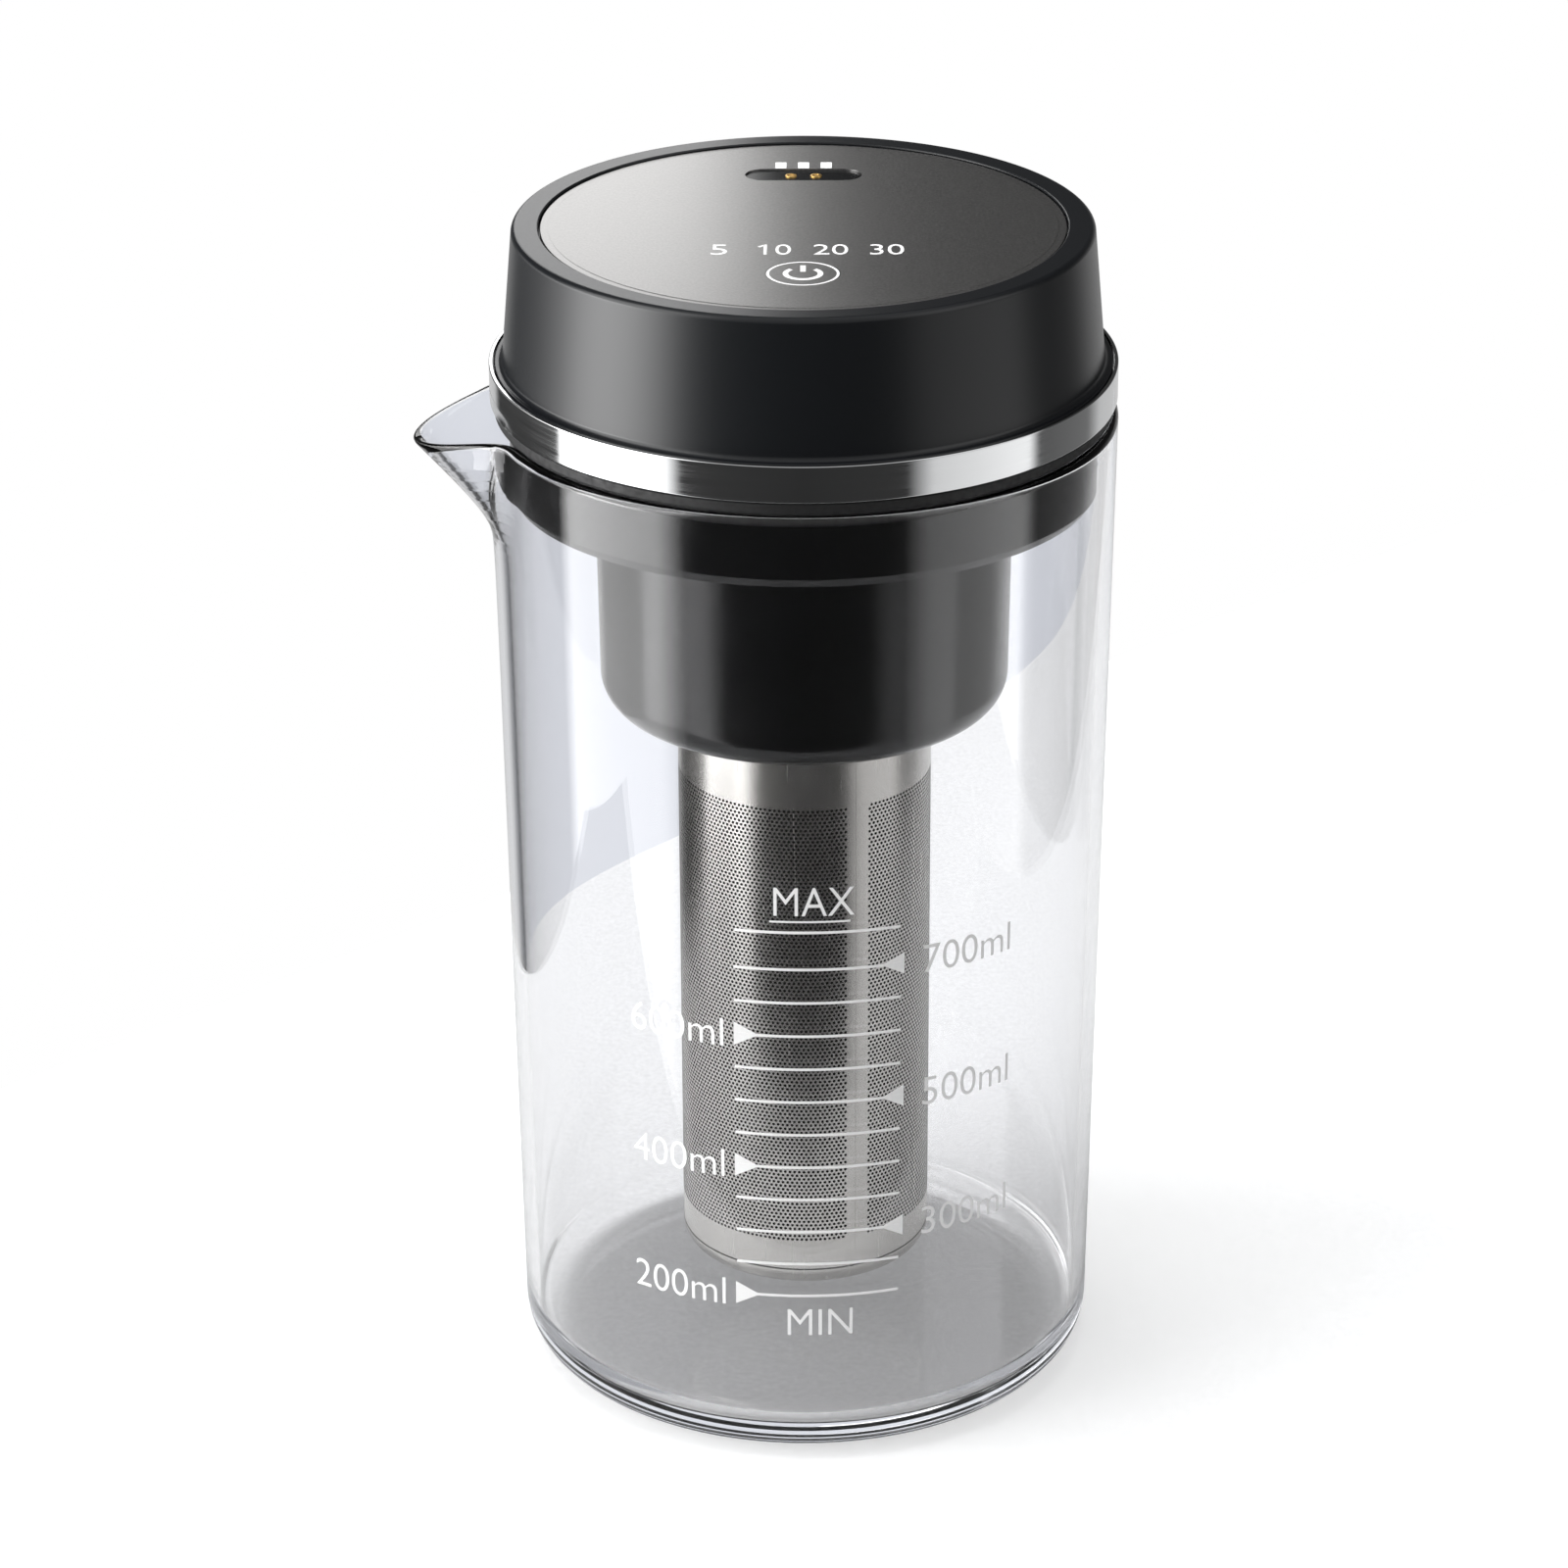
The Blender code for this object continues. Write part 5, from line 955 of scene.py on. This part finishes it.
class MAKER_OT_face(bpy.types.Operator):
    """Builds the face plate with its numbers, power key, charging port and windows"""
    bl_idname = "coffee_maker.face"
    bl_label = "Face plate"

    key_y = -25.6 * MM
    key_sides = 128
    number_y = -13.4 * MM
    port_y = 26.8 * MM
    contact_xs = (-2.15 * MM, 2.15 * MM)
    window_y = 32.0 * MM
    window_xs = (-3.9 * MM, 0.0, 3.9 * MM)
    window_width, window_depth = 1.95 * MM, 3.25 * MM
    window_play = 0.1 * MM

    def execute(self, context):
        lid = context.scene.maker_lid
        white = enamel_print("white_plate_print", context.scene.maker_colours.print)
        self.add_plate(lid)
        self.add_numbers(lid, white)
        self.add_key(lid, white)
        self.add_port(lid)
        self.add_windows()
        return {"FINISHED"}

    def add_plate(self, lid):
        """Blasted disc with a lowered margin, cut out for the key, the port and the windows."""
        low, high = heights("face_plate")
        edge = 0.15 * MM
        border = 1.3 * MM       # width of the lowered margin
        step = 0.06 * MM        # how far it is lowered
        slope = 0.12 * MM
        profile = [(0, low), (lid.plate_radius, low)]
        profile += arc((lid.plate_radius - edge, high - step - edge), edge, 0, QUARTER_TURN, 5)
        profile += [(lid.plate_radius - border, high - step),
                    (lid.plate_radius - border - slope, high), (0, high)]
        plate = mesh_object("steel_face_plate", lathe(profile, FINE_ROUND_STEPS))
        below, above = low - MM, high + MM
        cut_away(plate, prism(pill_outline(lid.port_length, lid.port_width, self.port_y),
                              below, above))
        last = self.key_sides - 1
        key_hole = arc((0, self.key_y), lid.key_radius + 0.05 * MM, 0,
                       FULL_TURN * last / self.key_sides, last)
        cut_away(plate, prism(key_hole, below, above))
        for x in self.window_xs:
            outline = rectangle(self.window_width, self.window_depth, x, self.window_y)
            cut_away(plate, prism(outline, below, above))
        dress(plate, "lid", finish_named("satin_steel"), ["face_plate"])

    def add_numbers(self, lid, white):
        """Time numbers, printed between the key and the middle of the plate."""
        top = heights("face_plate")[1] + 0.015 * MM
        boldness = -0.004
        parts = []
        for text, left, right in (("5", -15.2, -12.5), ("10", -6.5, -2.0), ("20", 1.7, 7.4),
                                  ("30", 11.0, 16.6)):
            number = lettering(text, (right - left) * MM, lid.digit_height, boldness)
            parts.append(moved(number, (left + right) / 2 * MM, self.number_y, top))
        # the 1 has a small flag at its head
        flag = [(-7.5, -11.9), (-7.1, -12.3), (-6.4, -11.5), (-6.4, -10.8)]
        parts.append(prism([(x * MM, y * MM) for x, y in flag], top - PRINT_HALF,
                           top + PRINT_HALF))
        dress(mesh_object("time_numbers", joined(parts)), "lid", white)

    def add_key(self, lid, white):
        """Round steel key with the power sign in a ring printed on it."""
        low, high = heights("power_key")
        edge = 0.08 * MM
        profile = [(0, low), (lid.key_radius, low)]
        profile += arc((lid.key_radius - edge, high - edge), edge, 0, QUARTER_TURN, 4)
        profile.append((0, high))
        add_piece("power_key_cap", moved(lathe(profile, self.key_sides), 0, self.key_y),
                  "power_button", "satin_steel", ["power_key"])
        below, above = high + 0.005 * MM, high + 0.025 * MM
        ring_inner, ring_outer = 5.5 * MM, 5.95 * MM
        stroke = 0.9 * MM
        sign_radius = 2.85 * MM
        mouth = 0.75            # half the angle that the sign leaves open for its bar
        bar_length, bar_y = 3.1 * MM, 2.5 * MM
        ring = lathe([(ring_inner, below), (ring_outer, below), (ring_outer, above),
                      (ring_inner, above)], self.key_sides)
        sign = band_of_arc(sign_radius, stroke, QUARTER_TURN + mouth,
                           QUARTER_TURN - mouth + FULL_TURN, below, above)
        bar = prism(rectangle(stroke, bar_length, 0, bar_y), below, above)
        parts = [moved(part, 0, self.key_y) for part in (ring, sign, bar)]
        dress(mesh_object("power_sign", joined(parts)), "power_button", white)

    def add_port(self, lid):
        """Sunk pill with two dished gilt contacts."""
        low, high = heights("charging_port")
        play = 0.3 * MM
        outline = pill_outline(lid.port_length - play, lid.port_width - play, self.port_y)
        add_piece("port_insert", prism(outline, low, high), "lid", "gloss_black_plastic",
                  ["charging_port"])
        outer, dish_top, dish_floor = 1.0 * MM, 0.62 * MM, 0.5 * MM
        side, soft = 0.12 * MM, 0.08 * MM
        profile = [(0, high), (outer, high)]
        profile += arc((outer - soft, high + side), soft, 0, QUARTER_TURN, 3)
        profile += [(dish_top, high + side + soft), (dish_floor, high + soft), (0, high + soft)]
        contacts = [moved(lathe(profile, 48), x, self.port_y) for x in self.contact_xs]
        add_piece("contact_rings", joined(contacts), "lid", "gilt")

    def add_windows(self):
        """Three milky battery windows, flush with the plate."""
        top = heights("face_plate")[1]
        width, depth = self.window_width - self.window_play, self.window_depth - self.window_play
        panes = [prism(rectangle(width, depth, x, self.window_y), top - 0.7 * MM,
                       top + 0.02 * MM) for x in self.window_xs]
        add_piece("battery_windows", joined(panes), "lid", "light_pipe")


# Filter

class MAKER_OT_filter(bpy.types.Operator):
    """Builds the filter tube with its perforations, seam and base cap"""
    bl_idname = "coffee_maker.filter"
    bl_label = "Filter"

    def execute(self, context):
        sizes = context.scene.maker_filter
        self.add_tube(sizes)
        self.add_perforations(sizes)
        self.add_base_cap(sizes)
        return {"FINISHED"}

    def add_tube(self, sizes):
        """Thin tube with the fine bead of its lengthwise weld."""
        low, high = heights("filter_tube")
        wall = 0.5 * MM
        profile = [(sizes.radius - wall, low), (sizes.radius, low), (sizes.radius, high),
                   (sizes.radius - wall, high)]
        add_piece("filter_tube_wall", lathe(profile), "filter", "brushed_steel", ["filter_tube"])
        angle = sizes.seam_azimuth
        bead_width, bead_height = 0.35 * MM, 0.10 * MM
        seam = prism(rectangle(bead_width, bead_height, 0, 0), sizes.perforated_low - 4 * MM,
                     high - 1 * MM)
        for vert in seam.verts:
            radius = sizes.radius - vert.co.y
            vert.co = (radius * math.sin(angle) + vert.co.x * math.cos(angle),
                       -radius * math.cos(angle) + vert.co.x * math.sin(angle), vert.co.z)
        add_piece("filter_weld_bead", seam, "filter", "brushed_steel")

    def add_perforations(self, sizes):
        """Dark discs of painted shade just clear of the tube, standing in for the holes, in
        staggered rings that skip the weld.
        """
        holes = round(FULL_TURN * sizes.radius / sizes.hole_pitch)
        row_pitch = sizes.hole_pitch * math.sin(math.radians(60))
        rise = sizes.perforated_high - sizes.perforated_low
        weld = sizes.seam_azimuth
        # the holes are not cut: each disc paints the shade that a hole would show
        dark = perforation_painted_shade()
        piece = mesh_object("filter_perforations", bmesh.new())
        grow(piece, perforation_tree(), {
            "Radius": sizes.radius + 0.015 * MM, "Low": sizes.perforated_low,
            "Row Pitch": row_pitch, "Holes": holes, "Rows": round(rise / row_pitch) + 1,
            "Half Step": math.pi / holes, "Hole Radius": sizes.hole_radius,
            "Weld Direction": (math.sin(weld), -math.cos(weld), 0.0),
            "Weld Cosine": math.cos(sizes.seam_width / 2 / sizes.radius), "Material": dark})
        dress(piece, "filter", dark)

    def add_base_cap(self, sizes):
        """Round-edged pan whose spigot stands inside the tube."""
        low, high = heights("filter_base_cap")
        lip = heights("filter_tube")[0] - FIT_GAP
        wall = 0.9 * MM
        soft = 3.2 * MM
        spigot = sizes.radius - 0.8 * MM
        inner = spigot - wall
        profile = [(0, low)]
        profile += arc((sizes.radius - soft, low + soft), soft, -QUARTER_TURN, 0, 14)
        profile += [(sizes.radius, lip), (spigot, lip), (spigot, high), (inner, high)]
        profile += arc((inner - soft + wall, low + soft), soft - wall, 0, -QUARTER_TURN, 8)
        profile.append((0, low + wall))
        add_piece("filter_base", lathe(profile), "filter", "brushed_steel", ["filter_base_cap"])


# Other nodes

class MAKER_OT_inner(bpy.types.Operator):
    """Gives every carried-over node of the frame its finish"""
    bl_idname = "coffee_maker.inner"
    bl_label = "Inner pieces"

    def execute(self, context):
        for row in frame["record"]["subparts"]:
            node = frame["nodes"][row["node"]]
            node.data.materials.clear()
            node.data.materials.append(finish_named(row["material_slot"]))
        return {"FINISHED"}


# Stage

class MAKER_OT_stage(bpy.types.Operator):
    """Builds the floor, the studio light and the camera"""
    bl_idname = "coffee_maker.stage"
    bl_label = "Stage"

    def execute(self, context):
        self.add_floor()
        self.add_world(context.scene)
        self.add_lamps()
        self.add_camera(context.scene)
        context.scene.view_settings.view_transform = "Standard"
        # light runs through the thick glass foot by many inner reflections
        context.scene.cycles.glossy_bounces = 12
        return {"FINISHED"}

    def add_floor(self):
        """A pale table top whose slanting far edge shows through the glass."""
        left, right, front = -0.283, 0.25, -0.12
        far_left, far_right = -0.026, 0.4745
        gap, thickness = 0.2 * MM, 20 * MM
        bm = prism([(left, front), (right, front), (right, far_right), (left, far_left)],
                   -gap - thickness, -gap)
        floor = mesh_object("table_top", bm)
        floor.data.materials.append(self.table_material())

    def table_material(self):
        """Pale fine-grained stone, which the camera sees as white where it isn't shaded."""
        base = linear("D0D1D2")
        result, tree, shader, place = new_material("honed_pale_stone", base, 0.8)
        tint(tree, shader, grain(tree, place, 1.1 * MM, detail=4.0), base, 0.24)
        lift_seen, lift_through_glass = 0.50, 0.22
        path = add_node(tree, "ShaderNodeLightPath").outputs
        through = add_node(tree, "ShaderNodeMath", {1: lift_through_glass},
                           {0: path["Is Transmission Ray"]}, operation="MULTIPLY")
        lift = add_node(tree, "ShaderNodeMath", {1: lift_seen}, operation="MULTIPLY_ADD",
                        links={0: path["Is Camera Ray"], 2: through.outputs["Value"]})
        glow = add_node(tree, "ShaderNodeEmission", {"Color": (1, 1, 1, 1)},
                        {"Strength": lift.outputs["Value"]})
        both = add_node(tree, "ShaderNodeAddShader",
                        links={0: shader.outputs[0], 1: glow.outputs[0]})
        tree.links.new(both.outputs[0], tree.nodes["Material Output"].inputs["Surface"])
        return result

    def light_ring(self, tree, turn, stops):
        """Brightness of the studio by azimuth, from (degrees, level) stops."""
        ramp = add_node(tree, "ShaderNodeValToRGB", links={"Fac": turn})
        elements = ramp.color_ramp.elements
        elements[0].position, elements[1].position = 0.0, 1.0
        for degrees, _ in stops[1:-1]:
            elements.new((degrees + 180) / 360)
        for element, (degrees, level) in zip(elements, stops):
            share = level / STUDIO_STRENGTH
            element.color = (share, share, share, 1)
        return ramp.outputs["Color"]

    def add_world(self, scene):
        """Soft boxes at both sides of a dark front, in three heights that blend."""
        world = bpy.data.worlds.new("studio")
        world.use_nodes = True
        scene.world = world
        tree = world.node_tree
        way = add_node(tree, "ShaderNodeTexCoord").outputs["Generated"]
        height = add_node(tree, "ShaderNodeSeparateXYZ", links={"Vector": way}).outputs["Z"]
        turned = add_node(tree, "ShaderNodeMapping", {"Rotation": (0, 0, QUARTER_TURN)},
                          {"Vector": way})
        turn = add_node(tree, "ShaderNodeTexGradient", gradient_type="RADIAL",
                        links={"Vector": turned.outputs["Vector"]}).outputs["Fac"]
        below = self.light_ring(tree, turn, (
            (-180, 0.65), (-155, 0.65), (-148, 0.05), (-101, 0.05), (-98, 3.3), (-56, 2.8),
            (-45, 0.05), (0, 0.035), (38, 0.045), (48, 0.85), (90, 1.25), (95, 0.12),
            (127, 0.20), (138, 0.65), (180, 0.65)))
        level = self.light_ring(tree, turn, (
            (-180, 0.40), (-150, 0.05), (-120, 1.0), (-100, 4.5), (-82, 11.0), (-68, 10.0),
            (-56, 5.0), (-45, 0.5), (-35, 0.05), (35, 0.03), (46, 0.40), (90, 0.60), (95, 0.1),
            (127, 0.1), (150, 0.40), (180, 0.40)))
        above = self.light_ring(tree, turn, (
            (-180, 0.05), (-150, 0.05), (-101, 0.05), (-98, 4.0), (-56, 4.0), (-40, 0.40),
            (40, 0.40), (46, 1.1), (90, 1.1), (95, 0.05), (180, 0.05)))
        shown = below
        for ring, low, high in ((level, -0.35, -0.10), (above, 0.02, 0.16)):
            rise = add_node(tree, "ShaderNodeMapRange", {"From Min": low, "From Max": high},
                            {"Value": height}).outputs["Result"]
            shown = add_node(tree, "ShaderNodeMix", data_type="RGBA",
                             links={"Factor": rise, "A": shown, "B": ring}).outputs["Result"]
        roof = add_node(tree, "ShaderNodeMapRange", {"From Min": 0.7, "From Max": 0.9},
                        {"Value": height}).outputs["Result"]
        roof_level = 0.55
        grey = roof_level / STUDIO_STRENGTH
        shown = add_node(tree, "ShaderNodeMix", {"B": (grey, grey, grey, 1)},
                         {"Factor": roof, "A": shown}, data_type="RGBA").outputs["Result"]
        lit = add_node(tree, "ShaderNodeVectorMath", {"Scale": STUDIO_STRENGTH}, {0: shown},
                       operation="SCALE").outputs["Vector"]
        self.add_backdrop(tree, lit)

    def add_backdrop(self, tree, lit):
        """White behind the object, and pale grey where the camera looks through glass.

        Light that runs along inside one solid of glass, as in the jug's thick foot, by two or
        more inner reflections counts as seen through it. Depths are whole numbers, so each
        limit lies halfway between two of them.
        """
        path = add_node(tree, "ShaderNodeLightPath").outputs
        bounces = add_node(tree, "ShaderNodeMath", operation="ADD",
                           links={0: path["Glossy Depth"], 1: path["Diffuse Depth"]})
        unturned = add_node(tree, "ShaderNodeMath", {1: 0.5}, {0: bounces.outputs["Value"]},
                            operation="LESS_THAN")
        faces = add_node(tree, "ShaderNodeMath", {1: 3.0}, operation="MULTIPLY_ADD",
                         links={0: path["Diffuse Depth"], 2: path["Transmission Depth"]})
        one_solid = add_node(tree, "ShaderNodeMath", {1: 2.5}, {0: faces.outputs["Value"]},
                             operation="LESS_THAN")
        guided = add_node(tree, "ShaderNodeMath", {1: 1.5}, {0: path["Glossy Depth"]},
                          operation="GREATER_THAN")
        piped = add_node(tree, "ShaderNodeMath", operation="MULTIPLY",
                         links={0: one_solid.outputs["Value"], 1: guided.outputs["Value"]})
        open_way = add_node(tree, "ShaderNodeMath", operation="MAXIMUM",
                            links={0: unturned.outputs["Value"], 1: piped.outputs["Value"]})
        through = add_node(tree, "ShaderNodeMath", operation="MULTIPLY",
                           links={0: open_way.outputs["Value"], 1: path["Is Transmission Ray"]})
        behind_glass = add_node(tree, "ShaderNodeMix", {"B": (*linear("E2E5EC"), 1)},
                                {"Factor": through.outputs["Value"], "A": lit}, data_type="RGBA")
        seen = add_node(tree, "ShaderNodeMix", {"B": (1, 1, 1, 1)},
                        {"Factor": path["Is Camera Ray"], "A": behind_glass.outputs["Result"]},
                        data_type="RGBA")
        tree.links.new(seen.outputs["Result"], tree.nodes["Background"].inputs["Color"])

    def add_lamps(self):
        """A soft lamp above, and a small card behind on the left that the plate mirrors."""
        for name, place, target, size, power, mirrored in (
                ("top_soft_light", (-0.25, 0.05, 1.35), (0, 0, 0.05), 0.9, 10.0, False),
                ("rear_left_card", (-0.069, 0.243, 0.296), (-0.057, -0.006, 0.209), 0.113, 0.09,
                 True)):
            light = bpy.data.lights.new(name, "AREA")
            light.shape = "SQUARE"
            light.size = size
            light.energy = power
            lamp = new_object(name, light)
            lamp.location = place
            way = Vector(target) - Vector(place)
            lamp.rotation_euler = way.to_track_quat("-Z", "Y").to_euler()
            lamp.visible_camera = False
            lamp.visible_glossy = mirrored

    def add_camera(self, scene):
        """The photograph's own view."""
        data = bpy.data.cameras.new("camera")
        data.lens = 121.37
        data.sensor_width = 36.0
        data.clip_start = 0.01
        data.clip_end = 50.0
        camera = new_object("camera", data)
        place = Vector((0.00213, -0.84131, 0.48672))
        pitch, yaw, roll = 0.4245, -0.0068, -0.0041
        forward = Vector((math.sin(yaw) * math.cos(pitch), math.cos(yaw) * math.cos(pitch),
                          -math.sin(pitch)))
        right = Vector((math.cos(yaw), -math.sin(yaw), 0))
        up = right.cross(forward)
        turned_right = right * math.cos(roll) + up * math.sin(roll)
        turned_up = up * math.cos(roll) - right * math.sin(roll)
        turn = Matrix((turned_right, turned_up, -forward)).transposed()
        camera.matrix_world = Matrix.Translation(place) @ turn.to_4x4()
        scene.camera = camera


class MAKER_PT_panel(bpy.types.Panel):
    """Lists the pieces of the coffee maker"""
    bl_idname = "MAKER_PT_panel"
    bl_label = "Coffee Maker"
    bl_space_type = "VIEW_3D"
    bl_region_type = "UI"
    bl_category = "Coffee Maker"

    def draw(self, context):
        for operator in STEPS:
            self.layout.operator(operator.bl_idname)
        for group in GROUPS:
            owner = getattr(context.scene, group)
            box = self.layout.box()
            for key in owner.bl_rna.properties.keys():
                if key not in ("rna_type", "name"):
                    box.prop(owner, key)


STEPS = (MAKER_OT_jug, MAKER_OT_marks, MAKER_OT_lid, MAKER_OT_face, MAKER_OT_filter,
         MAKER_OT_inner, MAKER_OT_stage)
GROUPS = {"maker_jug": JugSizes, "maker_marks": MarkSizes, "maker_lid": LidSizes,
          "maker_filter": FilterSizes, "maker_colours": FinishColours}


def register():
    for group in GROUPS.values():
        bpy.utils.register_class(group)
    for name, group in GROUPS.items():
        setattr(bpy.types.Scene, name, bpy.props.PointerProperty(type=group))
    for operator in STEPS:
        bpy.utils.register_class(operator)
    bpy.utils.register_class(MAKER_PT_panel)


def unregister():
    bpy.utils.unregister_class(MAKER_PT_panel)
    for operator in reversed(STEPS):
        bpy.utils.unregister_class(operator)
    for name, group in GROUPS.items():
        delattr(bpy.types.Scene, name)
        bpy.utils.unregister_class(group)


def main():
    register()
    maker = bpy.ops.coffee_maker
    maker.inner()
    maker.jug()
    maker.marks()
    maker.lid()
    maker.face()
    maker.filter()
    maker.stage()


if __name__ == "__main__":
    main()
